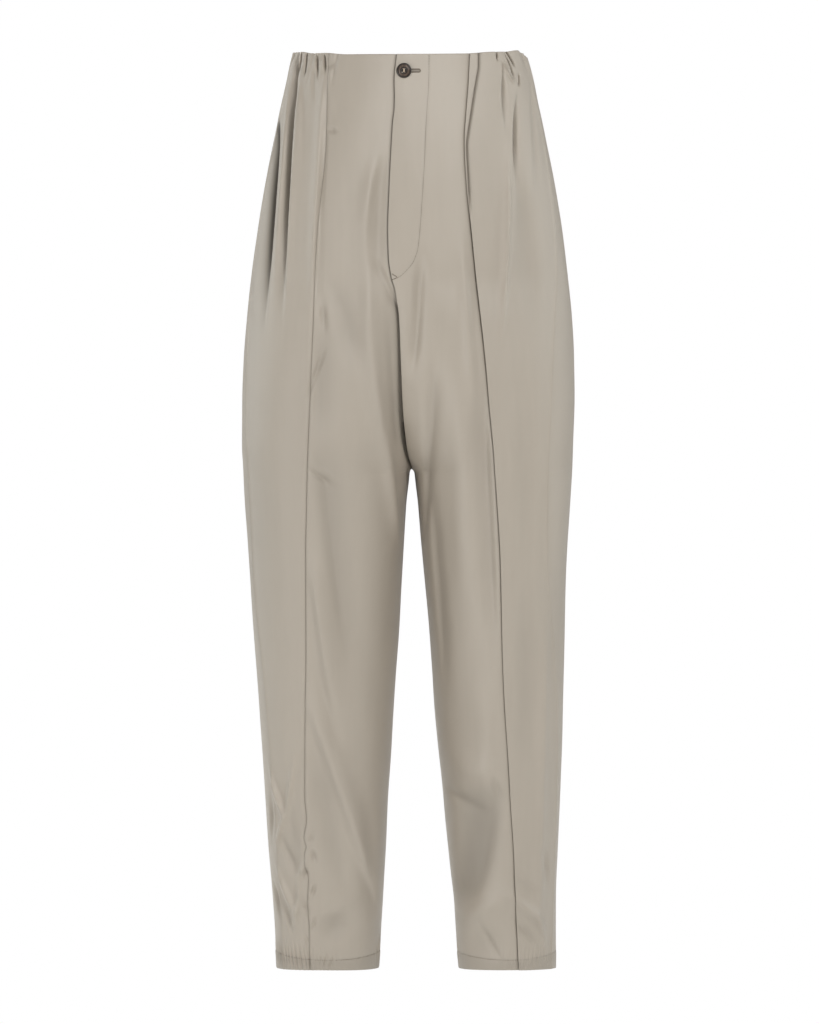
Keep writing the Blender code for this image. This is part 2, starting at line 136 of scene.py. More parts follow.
# front and back: how far the cloth stands before and behind its sides. side_y: where the sides are.
FORM = table(
    "depth front back side_y",
    (
        (0, 90, 98, 0),
        (50, 101, 112, 1),
        (100, 110, 126, 2),
        (150, 116, 137, 3),
        (200, 120, 143, 4),
        (250, 123, 146, 5),
        (300, 124.5, 146, 6),
        (350, 124, 143, 7),
        (400, 122, 138, 8),
        (450, 119, 131, 8),
        (478, 117, 127, 8),
        (520, 113, 121, 8),
        (570, 108, 115, 8),
        (620, 103, 110, 8),
        (680, 97, 103, 8),
        (740, 91, 96, 8),
        (800, 85, 90, 9),
        (860, 79, 83, 10),
        (920, 73, 76, 11),
        (980, 67, 70, 12),
        (1061, 60, 63, 13),
    ),
)
# front_x and back_x: the centre seams, towards +X. The partings say how far the two legs' ovals have
# moved apart there: 0 is one oval round the body and 1 is two that only touch.
CENTRE = table(
    "depth front_x back_x front_parting back_parting",
    (
        (0, -8, -2, 0, 0),
        (60, -11, -2, 0, 0),
        (120, -15, -2, 0, 0),
        (180, -18.5, -2, 0, 0.04),
        (250, -18.5, -2, 0, 0.16),
        (300, -13.5, -1, 0.2, 0.28),
        (350, -11.5, 0, 0.4, 0.42),
        (400, -9.5, 0, 0.61, 0.58),
        (440, -6, 0, 0.8, 0.76),
        (460, -3, 0, 0.9, 0.88),
        (470, -0.5, 0.5, 0.955, 0.95),
        (478, 1, 1, 1, 1),
    ),
)
# rise: how much higher than level the waist edge stands, at each share of the way round.
RIM = table(
    "share right left",
    (
        (0.5, 0, 0),
        (0.67, 0, 1),
        (0.75, 2, 3),
        (0.81, 2, 3.5),
        (0.875, 4, 5.5),
        (0.94, 4, 1),
        (1, 1.5, -4.5),
        (1.075, -4, -7),
        (1.2, -2, -3),
        (1.5, 0, 0),
    ),
)

# Each fold runs down the cloth from one depth and distance out to another, bowed outwards halfway. It
# has a half width and a sharpness towards the centre (in_) and towards the side (out_), a lift (a
# valley's is negative), and the share of its length over which it builds up and dies away.
FOLD_COLUMNS = "top first bottom last bow in_width out_width in_power out_power lift build die"
FRONT_FOLDS = {
    "right": (
        ("deep side pleat", -6, 129.5, 320, 149, 1.5, 3.6, 13, 3, 1.3, -15, 0.1, 0.65),
        ("lip of the pleat", 10, 126, 310, 145, 1.5, 7, 3, 1.8, 2.4, 4, 0.2, 0.5),
        ("pipe beside the pleat", 20, 140.5, 300, 159, 0, 8, 5, 2, 2, 6, 0.3, 0.5),
        ("second side pleat", 68, 151.5, 330, 170.5, -0.6, 4, 15, 2.8, 1.3, -14, 0.2, 0.75),
        ("merging gather", -2, 126, 30, 131, 0, 3, 3.6, 2, 2, -5, 0.1, 0.5),
        ("short gather", -2, 120, 27, 122.8, 0, 2.8, 3.8, 2, 1.7, -6, 0.2, 0.4),
        ("gather by the flat pleat", 0, 109, 32, 106.5, 0, 4, 3, 1.5, 2.6, -5, 0.2, 0.5),
        ("hollow under the gathers", 10, 112, 62, 109, 0, 7, 6, 2, 2, -2, 0.4, 0.6),
        ("gather at the seam", 0, 99.5, 26, 97.5, 0, 3, 3, 1.8, 2, -5, 0.2, 0.5),
        ("swelling between gathers", 18, 126, 200, 131, 0, 6, 7, 2, 2, 2.2, 0.3, 0.6),
        ("ridge by the seam", 20, 100, 330, 115, 1, 5, 7, 2, 2, 3.8, 0.2, 0.4),
        ("hollow beside the seam", 60, 98, 330, 109, 0, 5, 3, 2, 2, -1.8, 0.3, 0.4),
        ("upper front ridge", 106, 36, 262, 49, 8, 5, 9, 1.8, 1.8, 4, 0.35, 0.5),
        ("hollow by the lap", 98, 30, 268, 36, 3, 8, 7, 2, 2, -4, 0.3, 0.4),
        ("front ridge", 200, 48, 470, 26, 8, 9, 11, 1.8, 1.8, 7.5, 0.4, 0.3),
        ("front ridge's foot", 420, 29, 585, 12, 0, 7, 12, 1.6, 2, 6, 0.35, 0.4),
        ("trough by the fly", 250, 28, 466, 13, 0, 9, 8, 2, 1.8, -4, 0.4, 0.2),
        ("crease under the tack", 224, 45, 292, 13, 0, 4, 6, 1.8, 1.6, -3.4, 0.35, 0.25),
        ("slack across the thigh", 235, 94, 370, 56, 0, 13, 14, 2, 2, -4, 0.4, 0.45),
        ("hollow over the thigh", 280, 104, 450, 106, 0, 14, 10, 2, 2, -4, 0.4, 0.4),
        ("thigh trough", 425, 104, 730, 66, 2, 20, 9, 2, 1.8, -6, 0.25, 0.4),
        ("upper shin ridge", 555, 114, 775, 84, 3, 14, 6, 1.8, 1.8, 7.5, 0.3, 0.35),
        ("trough between the ridges", 690, 109, 815, 80, 0, 7, 7, 2, 2, -2.4, 0.4, 0.4),
        ("shin ridge", 722, 124, 1000, 34, -2, 17, 6.5, 1.9, 1.9, 9, 0.25, 0.3),
        ("trough under the shin ridge", 790, 116, 990, 72, 0, 10, 14, 1.8, 2, -4.5, 0.35, 0.4),
        ("inner ankle hollow", 860, 52, 1010, 45, 0, 10, 12, 2, 2, -3.5, 0.4, 0.4),
        ("ankle hollow", 850, 142, 985, 128, 0, 9, 9, 2, 2, -3, 0.4, 0.4),
    ),
    "left": (
        ("gather by the tuck", -4, 97, 12, 98, 0, 2.4, 2.6, 2, 2, -4.5, 0, 0.5),
        ("middle gather", 4, 105.5, 96, 108.5, -2, 2.8, 5, 2.6, 1.5, -5, 0.4, 0.6),
        ("hooked gather", -4, 105.6, 18, 119.5, 0, 2, 2.4, 2.2, 1.8, -6, 0, 0.3),
        ("outer hooked gather", -2, 104.5, 31, 119.3, 0, 2, 2.6, 2.2, 1.7, -5, 0.5, 0.3),
        ("hooked gather's end", 22, 121.5, 37, 122, 2, 2, 2, 2, 2, -4, 0.35, 0.3),
        ("roll under the gathers", 4, 102.5, 38, 121, -2, 2.2, 2.4, 2, 2, 3, 0.35, 0.3),
        ("puff between the gathers", 2, 107, 27, 117, 0, 6, 6, 2, 2, 3, 0.4, 0.5),
        ("side gather", 36, 121.5, 158, 121, -3, 2.4, 4.6, 3, 1.5, -7, 0.4, 0.5),
        ("slack behind the gathers", 20, 137, 170, 146, 0, 6, 6, 2, 2, -3, 0.3, 0.5),
        ("hip ridge", 84, 110, 350, 100, 5, 5, 3.4, 1.8, 1.5, 6, 0.35, 0.4),
        ("hollow behind the hip ridge", 110, 120, 290, 116, 4, 7, 11, 1.8, 2, -2.2, 0.3, 0.6),
        ("valley by the fly", 215, 12, 372, 1, 2, 7, 5, 2, 1.7, -5.5, 0.3, 0.3),
        ("inner thigh trough", 322, 29, 590, 14, -1, 8, 9, 1.8, 1.8, -5.5, 0.3, 0.4),
        ("ridge by the panel seam", 190, 55, 420, 72, 0, 6, 6, 1.8, 2, 4, 0.4, 0.4),
        ("hollow beside the panel seam", 330, 79, 720, 98, 0, 15, 5, 2, 2, -5.5, 0.35, 0.4),
        ("thigh ridge", 330, 54, 660, 62, 0, 15, 14, 2, 2, 4, 0.4, 0.4),
        ("inseam trough", 470, 22, 760, 42, 0, 9, 14, 2, 2, -4.5, 0.3, 0.4),
        ("side slack", 130, 128, 330, 138, 0, 14, 14, 2, 2, -3, 0.4, 0.4),
        ("thigh's side trough", 350, 126, 620, 134, 0, 12, 14, 2, 2, -3, 0.4, 0.4),
        ("shin ridge", 600, 157, 1045, 148, 0, 9, 8, 2, 1.8, 4.5, 0.3, 0.2),
        ("side hollow", 560, 130, 860, 134, 0, 12, 12, 2, 2, -3.4, 0.4, 0.4),
        ("low ridge", 700, 84, 905, 92, 0, 14, 10, 2, 2, 3, 0.4, 0.4),
        ("deep hollow", 832, 94, 1000, 62, 8, 42, 11, 3, 2, -6, 0.35, 0.45),
    ),
}
BACK_FOLDS = {
    "right": (
        ("corner of the waist", -4, 0.98, 40, 1.0, 0, 10, 12, 2, 2, 2.5, 0, 0.9),
        ("seat fold", 395, 1.62, 560, 1.42, 0, 11, 14, 1.7, 2, -7, 0.4, 0.5),
        ("seat crease", 425, 1.78, 520, 1.5, 0, 5, 8, 1.7, 2, -4, 0.3, 0.5),
        ("hip hollow", 190, 1.22, 420, 1.16, 0, 14, 16, 2, 2, -4.5, 0.4, 0.4),
        ("hip ridge", 120, 1.34, 380, 1.28, 0, 9, 12, 1.8, 2, 3.6, 0.3, 0.5),
        ("seat fullness", 170, 1.44, 430, 1.4, 0, 20, 20, 2, 2, 3, 0.4, 0.4),
        ("thigh fold", 500, 1.86, 650, 1.3, 0, 11, 14, 1.7, 2, -6, 0.4, 0.5),
        ("thigh ridge", 520, 1.3, 700, 1.22, 0, 10, 13, 1.8, 2, 4, 0.4, 0.5),
        ("knee fold", 640, 1.72, 745, 1.2, 0, 10, 13, 1.7, 2, -6, 0.4, 0.4),
        ("knee ridge", 672, 1.76, 770, 1.3, 0, 9, 11, 1.8, 1.8, 3.4, 0.4, 0.4),
        ("lower knee fold", 712, 1.36, 800, 1.8, 0, 8, 11, 1.7, 2, -4.4, 0.4, 0.4),
        ("calf fold", 800, 1.3, 960, 1.7, 0, 10, 13, 1.7, 2, -5, 0.4, 0.4),
        ("ankle fold", 930, 1.62, 1020, 1.18, 0, 7, 10, 1.7, 2, -4, 0.4, 0.4),
    ),
    "left": (
        ("corner of the waist", -4, 0.97, 62, 0.99, 0, 14, 14, 2, 2, 4.5, 0, 0.9),
        ("seat fold", 405, 1.6, 545, 1.37, 0, 11, 14, 1.7, 2, -6.6, 0.4, 0.5),
        ("seat crease", 436, 1.8, 540, 1.55, 0, 5, 8, 1.7, 2, -3.8, 0.3, 0.5),
        ("hip hollow", 170, 1.16, 400, 1.12, 0, 14, 16, 2, 2, -4.5, 0.4, 0.4),
        ("hip ridge", 110, 1.3, 350, 1.24, 0, 10, 12, 1.8, 2, 3.4, 0.3, 0.5),
        ("seat fullness", 190, 1.48, 420, 1.42, 0, 20, 20, 2, 2, 2.8, 0.4, 0.4),
        ("thigh fold", 520, 1.9, 640, 1.36, 0, 11, 14, 1.7, 2, -6, 0.4, 0.5),
        ("thigh ridge", 540, 1.24, 730, 1.2, 0, 10, 13, 1.8, 2, 3.8, 0.4, 0.5),
        ("knee fold", 655, 1.64, 765, 1.16, 0, 10, 13, 1.7, 2, -6, 0.4, 0.4),
        ("knee ridge", 690, 1.7, 790, 1.26, 0, 9, 11, 1.8, 1.8, 3.2, 0.4, 0.4),
        ("lower knee fold", 730, 1.42, 812, 1.84, 0, 8, 11, 1.7, 2, -4, 0.4, 0.4),
        ("calf fold", 780, 1.24, 940, 1.66, 0, 10, 13, 1.7, 2, -5, 0.4, 0.4),
        ("ankle fold", 915, 1.56, 1012, 1.14, 0, 7, 10, 1.7, 2, -3.8, 0.4, 0.4),
    ),
}

# Each dent or small ridge: its middle, its half length and half width, how much deeper it gets for
# each millimetre further out, and its lift.
DENT_COLUMNS = "depth out half_length half_width slope lift"
DENTS = {
    "right": (
        ("nick by the seam", 86, 90, 6, 2.4, -0.25, -3.2),
        ("slanting dimple", 297, 100, 17, 3.8, -2.2, -3.6),
        ("long dimple", 362, 109, 24, 2.8, 10, -2.2),
        ("pull crease", 481, 104, 15, 2.8, -0.75, -2.6),
        ("ridge over the pull crease", 474, 98, 15, 4, -0.75, 1.2),
        ("ankle ridge 1", 856, 156, 27, 4.2, -2.4, 6.2),
        ("ankle ridge 2", 898, 152, 19, 4, 2.35, 6.2),
        ("ankle ridge 3", 969, 146.5, 25, 4.4, -1.9, 6.2),
        ("ankle ridge 4", 942, 127, 14, 4, 2.3, 4.5),
        ("ankle ridge 5", 965, 130.5, 14, 4, -9, 3.5),
        ("ankle ridge 6", 992, 133, 18, 4.4, 4.5, 5),
        ("ankle ridge 7", 845, 140, 34, 4.4, 5, 4.6),
        ("ankle hollow 1", 884, 163, 22, 5, 9, -5),
        ("ankle hollow 2", 983, 157, 18, 5, -2.4, -6),
        ("ankle hollow 3", 925, 143, 20, 5.5, -2, -4.5),
        ("ankle hollow 4", 1000, 143, 18, 4.5, -3, -4),
        ("pinch at the seam 1", 905, 116, 6, 2.4, 3, -2.6),
        ("pinch at the seam 2", 925, 113, 7, 2.4, -3, -3.5),
        ("pinch at the seam 3", 946, 122, 6, 2.4, 3, -2.9),
        ("pinch at the seam 4", 966, 113.5, 7, 2.2, 3, -3.5),
        ("pinch at the seam 5", 986, 122, 6, 2.2, -3, -2.9),
        ("pinch at the seam 6", 1006, 113, 7, 2.2, 5, -3.2),
        ("pinch at the seam 7", 1026, 121, 6, 2.2, -4, -2.6),
        ("dark fold at the waist", 12, 90.5, 5, 3.4, 4, -2.6),
        ("low hollow", 1007, 88, 18, 17, 0.4, -6.5),
        ("low ridge", 985, 82, 28, 9, 0.5, 2.4),
    ),
    "left": (
        ("knee dimple", 843, 99, 11, 3.5, 4, -3.4),
        ("bulge over the hollow", 824, 76, 40, 17, 0.15, 6.5),
        ("crescent under the bulge", 860, 58, 30, 7, 0.35, -3.5),
        ("bottom of the hollow", 966, 60, 32, 17, -0.5, -4.5),
        ("low swelling", 988, 84, 40, 13, -0.5, 4),
        ("low crease", 1028, 92, 22, 3.2, 1.7, -3),
        ("hollow over the hem", 1028, 84, 22, 19, -0.4, -4),
        ("side ridge", 990, 136, 28, 6, 0.9, 6),
        ("side ridge 2", 1010, 150, 22, 5, 2.4, 5),
        ("side hollow", 938, 156, 24, 7, 3, -4.5),
        ("side hollow 2", 1016, 134, 20, 5, 1.2, -3.6),
        ("side hollow 3", 962, 134, 22, 7, 0.9, -2.6),
    ),
}

# The gathers that the waist's elastic draws in behind: the share where each valley lies, how deep it
# is and how far down it runs, alike on both legs.
BACK_GATHERS = table(
    "share lift reach",
    (
        (1.05, -5, 200),
        (1.13, -4.5, 140),
        (1.215, -5.5, 210),
        (1.295, -4, 120),
        (1.38, -5, 180),
        (1.46, -3.5, 100),
    ),
)
WAIST_NARROW = 0.45  # how narrow a fold is at the waist edge, against its width further down
WIDEN_REACH = 90.0
LEAN = 1.2  # how far the folds of the sides lean forward, against the outward direction
LEAN_FADE = (0.9, 1.15)
INSEAM_FADE = 0.15
GATHER_WIDTH = 9.0
GATHER_FADE = 0.9
# Between them the casing puckers the cloth finely, at uneven steps.
PUCKER_STEP = 0.021
PUCKER_WIDTH = 2.6
PUCKER_LIFTS = (-2.4, -1.0)
PUCKER_REACH = (16.0, 52.0)
PUCKERED = {"right": (0.7, 1.49), "left": (0.9, 1.49)}
PUCKER_SEED = {"right": 5, "left": 9}

# How far out of its line the gathers pull the right leg's panel seam.
SEAM_PULLS = table(
    "depth pull",
    (
        (858, 0),
        (881, -1.9),
        (905, 1.4),
        (914, -1),
        (924, 1.2),
        (940, 0.4),
        (953, -1.9),
        (969, -0.5),
        (988, 0.8),
        (1008, -0.6),
        (1030, 0),
    ),
)

# The tuck in the left side panel: where its folded edge lies, until it meets the panel seam.
TUCK = table(
    "depth out",
    (
        (0, 78),
        (13, 78),
        (30, 75.3),
        (41, 73.3),
        (69, 69),
        (88, 66),
        (103, 64.3),
        (137, 66),
        (165, 67.4),
        (190, 68.6),
        (215, 70),
    ),
)
TUCK_LIFT = 2.3
TUCK_EDGE = 0.55
TUCK_FADE = 24.0
TUCK_FURROW = 1.7
STRIP_LIFT = 0.7

# The lap over the fly: its free edge towards +X, down to where it becomes the centre seam.
LAP_EDGE = table(
    "depth x",
    (
        (0, -16),
        (30, -18.8),
        (48, -18.4),
        (62, -18.7),
        (76, -20.4),
        (100, -21.9),
        (150, -24.4),
        (200, -26),
        (230, -25.2),
        (252, -22.2),
        (266, -18.2),
        (284, -15.3),
    ),
)
LAP_LIFT = table("depth lift", ((0, 2.0), (230, 2.0), (300, 1.3), (400, 1.1), (478, 0.4)))
LAP_REACH = 52.0
EDGE_WALL = 4.5  # how far the left front's turned edge reaches in over the rolled-in right front
LAP_FURROW = 1.2
LAP_FURROW_WIDTH = 2.0
# The rounded row of stitches that holds the fly, towards +X, and how deep it draws the cloth in.
FLY_ROW = table(
    "depth x",
    (
        (0, 20.5),
        (30, 20),
        (63, 18),
        (82, 16.8),
        (124, 15),
        (160, 12.8),
        (199, 10),
        (219, 7.8),
        (234, 3),
        (246, -6.5),
        (251, -12),
        (253, -15.5),
    ),
)
TACK = ((-21.6, 248.4, -14.8, 252.9), (-21.4, 255.2, -14.8, 252.6))

SEAM_GAP = 0.1
SEAM_SINK = 0.7
SEAM_WIDTH = 0.9
SEAM_BULK = 0.35
SEAM_BULK_AT = 4.5
SEAM_BULK_WIDTH = 3.0
UNDERLAP = 5.0
ROLL_LIFT = -6.0  # the right front rolls in towards the centre seam below the fly
ROLL_WIDTH = 8.0
PROUD = 1.2  # the front side panels stand proud of the backs along the side seams
PROUD_WIDTH = 2.5

HEM_ROW = 12.0  # from the hem's edge up to its stitches, in front
HEM_ROW_RISE = 6.5  # how much further that is at the sides, where the hem dips
HEM_BULK = 0.35
FURROW = 0.3
FURROW_WIDTH = 1.1
HEM_PUCKERS = 74
HEM_PUCKER_LIFT = {"right": 1.5, "left": 0.6}
HEM_PUCKER_REACH = 14.0

# How much painted shade darkens the sharpest pleats inside, where no light reaches, and how wide
# that is against the pleat.
PAINTED_SHADE_BUILD = 0.4  # how early the dark builds up, against the pleat
PAINTED_PLEAT_SHADES = {
    "deep side pleat": (1.0, 0.38),
    "second side pleat": (2.2, 0.55),
    "merging gather": (0.6, 0.45),
    "short gather": (0.7, 0.45),
    "gather by the flat pleat": (0.45, 0.45),
    "gather at the seam": (0.55, 0.45),
    "gather by the tuck": (0.5, 0.45),
    "middle gather": (0.3, 0.4),
    "hooked gather": (1.0, 0.45),
    "outer hooked gather": (0.85, 0.45),
    "hooked gather's end": (0.4, 0.5),
    "side gather": (0.35, 0.45),
    "deep hollow": (0.2, 1.0),
}
# Painted shade at the bottom of the folds, full where they are HOLLOW_DEEP deep.
HOLLOW_SHADE = 0.4  # how much darker the bottom of a fold is
HOLLOW_DEEP = 14.0
# The inside of the cloth gets only this share of the outside's painted shade.
INSIDE_SHADE = 0.3  # how much of the outside's shade the inside of the cloth has

EDGE_ROLL = 0.35
EDGE_ROLL_REACH = 0.7

# Soft unevenness all over: wave lengths across, along and through the cloth, and the height.
SLACK = table(
    "across down deep height",
    (
        (150, 420, 190, 0.9),
        (95, 300, 120, 0.6),
        (62, 170, 90, 0.38),
        (38, 110, 60, 0.2),
        (24, 62, 40, 0.1),
    ),
)
SLACK_WAVES = 5
SLACK_SEED = 21

COLUMNS = {"centre": 66, "side": 124, "back": 98}
END_CROWDING = 0.55
# The step from one row of the cloth's grid to the next, at each depth.
ROW_STEP = table(
    "depth step",
    (
        (0, 0.5),
        (4, 1.2),
        (60, 2.2),
        (300, 2.6),
        (400, 3.8),
        (465, 3),
        (477, 0.7),
        (486, 1),
        (500, 3.8),
        (840, 3.8),
        (900, 3.2),
        (1030, 3.2),
    ),
)
HEM_STEP = table("rise step", ((0, 0.5), (3, 1.1), (22, 1.6), (40, 3.4)))

BUTTON_X = -8.0
BUTTON_DEPTH = 19.0
BUTTON_SEAT = 0.25
HOLE_RADIUS = 0.9
HOLE_SPACING = 3.8
HOLE_DEPTH = 1.4
# The button's turned outline: distance from its axis and height over its back.
BUTTON_PROFILE = (
    (0, 0),
    (6.9, 0),
    (8.1, 0.7),
    (8.6, 1.7),
    (8.2, 2.8),
    (7.4, 3.1),
    (6.7, 2.5),
    (6.3, 1.9),
    (5.6, 2.4),
    (5.0, 2.5),
    (4.3, 1.8),
    (3.8, 1.5),
    (0, 1.5),
)
# The horn gets painted shade everywhere off this ring.
BUTTON_RING = (5.5, 1.25)  # the lighter ring's radius, and how wide it is
BUTTON_SIDES = 120
BUTTON_RINGS = 130

STITCH_GAP = 0.7
BUTTONHOLE = (-9.0, 10.6)
# How much painted shade fills the buttonhole's slit.
BUTTONHOLE_SHADE = 0.6
BUTTONHOLE_HALF = 1.75

LEGS = {"right": (-1.0, RIGHT_LEG), "left": (1.0, LEFT_LEG)}


def ease(value):
    """0 to 1 with no slope at either end."""
    value = np.clip(value, 0.0, 1.0)
    return value * value * (3.0 - 2.0 * value)


def bell(distance, width):
    """1 at the middle, falling off on both sides like exp(-(distance / width)^2)."""
    return np.exp(-((distance / width) ** 2))


def smooth(rows, column, place, along="depth"):
    """One column of a table read anywhere, on cubics that never overshoot its rows."""
    at, value = rows[along], rows[column]
    step = np.diff(at)
    rise = np.diff(value) / step
    slope = np.concatenate([rise[:1], np.zeros(len(at) - 2), rise[-1:]])
    turning = rise[:-1] * rise[1:] <= 0
    total = np.where(turning, 1.0, rise[:-1] + rise[1:])
    slope[1:-1] = np.where(turning, 0.0, 2.0 * rise[:-1] * rise[1:] / total)
    k = np.clip(np.searchsorted(at, place, side="right") - 1, 0, len(at) - 2)
    u = np.clip((place - at[k]) / step[k], 0.0, 1.0)
    start = value[k] + u * u * (3.0 - 2.0 * u) * (value[k + 1] - value[k])
    bend = u * (1.0 - u) ** 2 * slope[k] - u * u * (1.0 - u) * slope[k + 1]
    return start + bend * step[k]


def oval(leg, half, depth):
    """(middle, half width, first angle, pull) of a leg's front or back oval, in distances out.

    The angle is 0 at the oval's inner end. The oval parts from the other leg's with an eased end, it
    is cut at its first angle, and the pull is what brings that point back to the centre seam.
    """
    sign, rows = LEGS[leg]
    seam = sign * smooth(CENTRE, half + "_x", depth)
    overlap = 1.0 - smooth(CENTRE, half + "_parting", depth)
    below = depth > CROTCH
    inner = np.where(below, smooth(rows, "inseam", depth), seam)
    overlap = np.where(below, 0.0, overlap)
    eased = 1.0 - overlap * (1.0 - np.exp(-overlap / EASING))
    width = (smooth(rows, "outer", depth) - inner) / (1.0 + eased)
    pull = (1.0 - overlap - eased) * width
    return inner + eased * width, width, np.arccos(np.clip(1.0 - overlap, -1.0, 1.0)), pull


def drawing(angle, first, pull):
    """How far out a point is drawn so that the oval's cut end meets the centre seam."""
    spread = PULL_LEAST + PULL_SPREAD * first
    return pull * np.exp(-(((angle - first) / spread) ** 2))


def form(leg, depth, share):
    """(points, outward directions) on the leg's plain form, in millimetres.

    A point is at middle - width * cos(angle) out and half depth * sin(angle) before or behind the
    side line, made squarer by FULLNESS. The direction is the slope of the oval's own equation, with
    the change of the oval over 1 mm of depth as its upright part.
    """
    depth, share = np.broadcast_arrays(np.asarray(depth, float), np.asarray(share, float))
    sign = LEGS[leg][0]
    is_front = share <= 1.0
    facing = np.where(is_front, -1.0, 1.0)

    def sized(at_depth):
        front, back = oval(leg, "front", at_depth), oval(leg, "back", at_depth)
        middle, width, first, pull = (np.where(is_front, f, b) for f, b in zip(front, back))
        reach = smooth(FORM, "front", at_depth)
        reach = np.where(is_front, reach, smooth(FORM, "back", at_depth))
        return middle, width, first, pull, reach, smooth(FORM, "side_y", at_depth)

    middle, width, first, pull, reach, side_y = sized(depth)
    angle = math.pi * np.where(is_front, share, 2.0 - share)
    fuller = 1.0 + FULLNESS * np.cos(angle) ** 2
    out = middle - width * np.cos(angle)
    under = np.maximum(depth - CROTCH, 0.0)
    arch = ARCH_HALF * (1.0 - np.exp(-under / ARCH_RISE)) * np.exp(-under / ARCH_FADE)
    drawn = out + arch * np.exp(-((angle / ARCH_SPREAD) ** 2)) + drawing(angle, first, pull)
    y = side_y + facing * reach * np.sin(angle) * fuller

    def inside(at_depth):
        middle_, width_, _, _, reach_, side_ = sized(at_depth)
        return ((out - middle_) / width_) ** 2 + ((y - side_) / (reach_ * fuller)) ** 2

    direction = np.stack(
        [
            sign * 2.0 * (out - middle) / width**2,
            2.0 * (y - side_y) / (reach * fuller) ** 2,
            inside(depth - HALF_DEPTH_STEP) - inside(depth + HALF_DEPTH_STEP),
        ],
        axis=-1,
    )
    direction /= np.linalg.norm(direction, axis=-1, keepdims=True)
    dip = HEM_DIP * (1.0 - np.sin(angle)) * ease((depth - LENGTH + HEM_RISE) / HEM_RISE)
    lift = smooth(RIM, leg, share, along="share") * ease(1.0 - depth / RIM_REACH)
    return np.stack([sign * drawn, y, lift - depth - dip], axis=-1), direction


def share_at(leg, depth, out):
    """The share of the way round where the leg's front is this far out."""
    middle, width, first, pull = oval(leg, "front", np.asarray(depth, float))
    angle = math.pi
    for _ in range(SHARE_STEPS):
        plain = out - drawing(angle, first, pull)
        angle = np.arccos(np.clip((middle - plain) / width, -1.0, 1.0))
    return angle / math.pi


def centre_share(leg, half, depth):
    """The share where a leg's front or back is cut at the centre seam, or meets the inseam."""
    cut = oval(leg, half, np.asarray(depth, float))[2] / math.pi
    return cut if half == "front" else 2.0 - cut


def girth_rate(leg, depth, share):
    """Millimetres of cloth for each unit of share, at this place."""
    span = form(leg, depth, share + NEAR_SHARE)[0] - form(leg, depth, share - NEAR_SHARE)[0]
    return np.linalg.norm(span, axis=-1) / (2.0 * NEAR_SHARE)


def lean(direction, share):
    """The direction that folds stand out in: outward, and turned forward on the front and its sides,
    so that the pleats at the sides open towards the front."""
    forward = LEAN * ease((LEAN_FADE[1] - share) / (LEAN_FADE[1] - LEAN_FADE[0]))
    forward = forward * ease(share / INSEAM_FADE)
    leaning = direction + forward[..., None] * np.array([0.0, -1.0, 0.0])
    return leaning / np.linalg.norm(leaning, axis=-1, keepdims=True)


def round_from(share, middle):
    """The shorter way round from one share to another, across the inseam if need be."""
    return np.mod(share - middle + 1.0, 2.0) - 1.0


def fold(depth, share, rate, middle, row, narrower=1.0):
    """The height of one fold: a bell across it, wider or sharper on one side, faded at its ends."""
    across = round_from(share, middle) * rate / narrower
    inward = across < 0.0
    wider = WAIST_NARROW + (1.0 - WAIST_NARROW) * ease(depth / WIDEN_REACH)
    width = wider * np.where(inward, row["in_width"], row["out_width"])
    power = np.where(inward, row["in_power"], row["out_power"])
    along = (depth - row["top"]) / (row["bottom"] - row["top"])
    strength = ease(along / row["build"]) if row["build"] else np.where(along < 0.0, 0.0, 1.0)
    strength = strength * ease((1.0 - along) / row["die"])
    return row["lift"] * strength * np.exp(-(np.abs(across / width) ** power))


def fold_rows(rows):
    """Each row of a table of folds as a dict of its named columns."""
    return [dict(zip(FOLD_COLUMNS.split(), values)) for _, *values in rows]


def fold_line(row, depth):
    """Where a fold's line lies at each depth: straight from end to end, with an even bow."""
    along = np.clip((depth - row["top"]) / (row["bottom"] - row["top"]), 0.0, 1.0)
    straight = row["first"] + (row["last"] - row["first"]) * along
    return straight + 4.0 * row["bow"] * along * (1.0 - along)


def folds(leg, depth, share, rate):
    """The height of every fold together, out from the plain form."""
    height = np.zeros(np.broadcast(depth, share).shape)
    for row in fold_rows(FRONT_FOLDS[leg]):
        middle = share_at(leg, depth, fold_line(row, depth))
        height += fold(depth, share, rate, middle, row)
    for row in fold_rows(BACK_FOLDS[leg]):
        height += fold(depth, share, rate, fold_line(row, depth), row)
    return height


def painted_pleat_shade(leg, depth, share, rate):
    """How much painted shade each place has for lying inside one of the sharpest pleats."""
    dark = np.zeros(np.broadcast(depth, share).shape)
    for (name, *_), row in zip(FRONT_FOLDS[leg], fold_rows(FRONT_FOLDS[leg])):
        if name in PAINTED_PLEAT_SHADES:
            middle = share_at(leg, depth, fold_line(row, depth))
            strength, reach = PAINTED_PLEAT_SHADES[name]
            row["build"] *= PAINTED_SHADE_BUILD
            dark += strength * fold(depth, share, rate, middle, row, reach) / row["lift"]
    return dark


def dents(leg, depth, share, rate):
    """Small dents and ridges: a bell in two directions, turned by its slope."""
    height = np.zeros(np.broadcast(depth, share).shape)
    for _, *values in DENTS[leg]:
        dent = dict(zip(DENT_COLUMNS.split(), values))
        middle = share_at(leg, np.array(float(dent["depth"])), dent["out"])
        across, down = round_from(share, middle) * rate, depth - dent["depth"]
        run = math.hypot(1.0, dent["slope"])
        along = (across + down * dent["slope"]) / run
        aside = (down - across * dent["slope"]) / run
        height += dent["lift"] * bell(along, dent["half_length"]) * bell(aside, dent["half_width"])
    return height


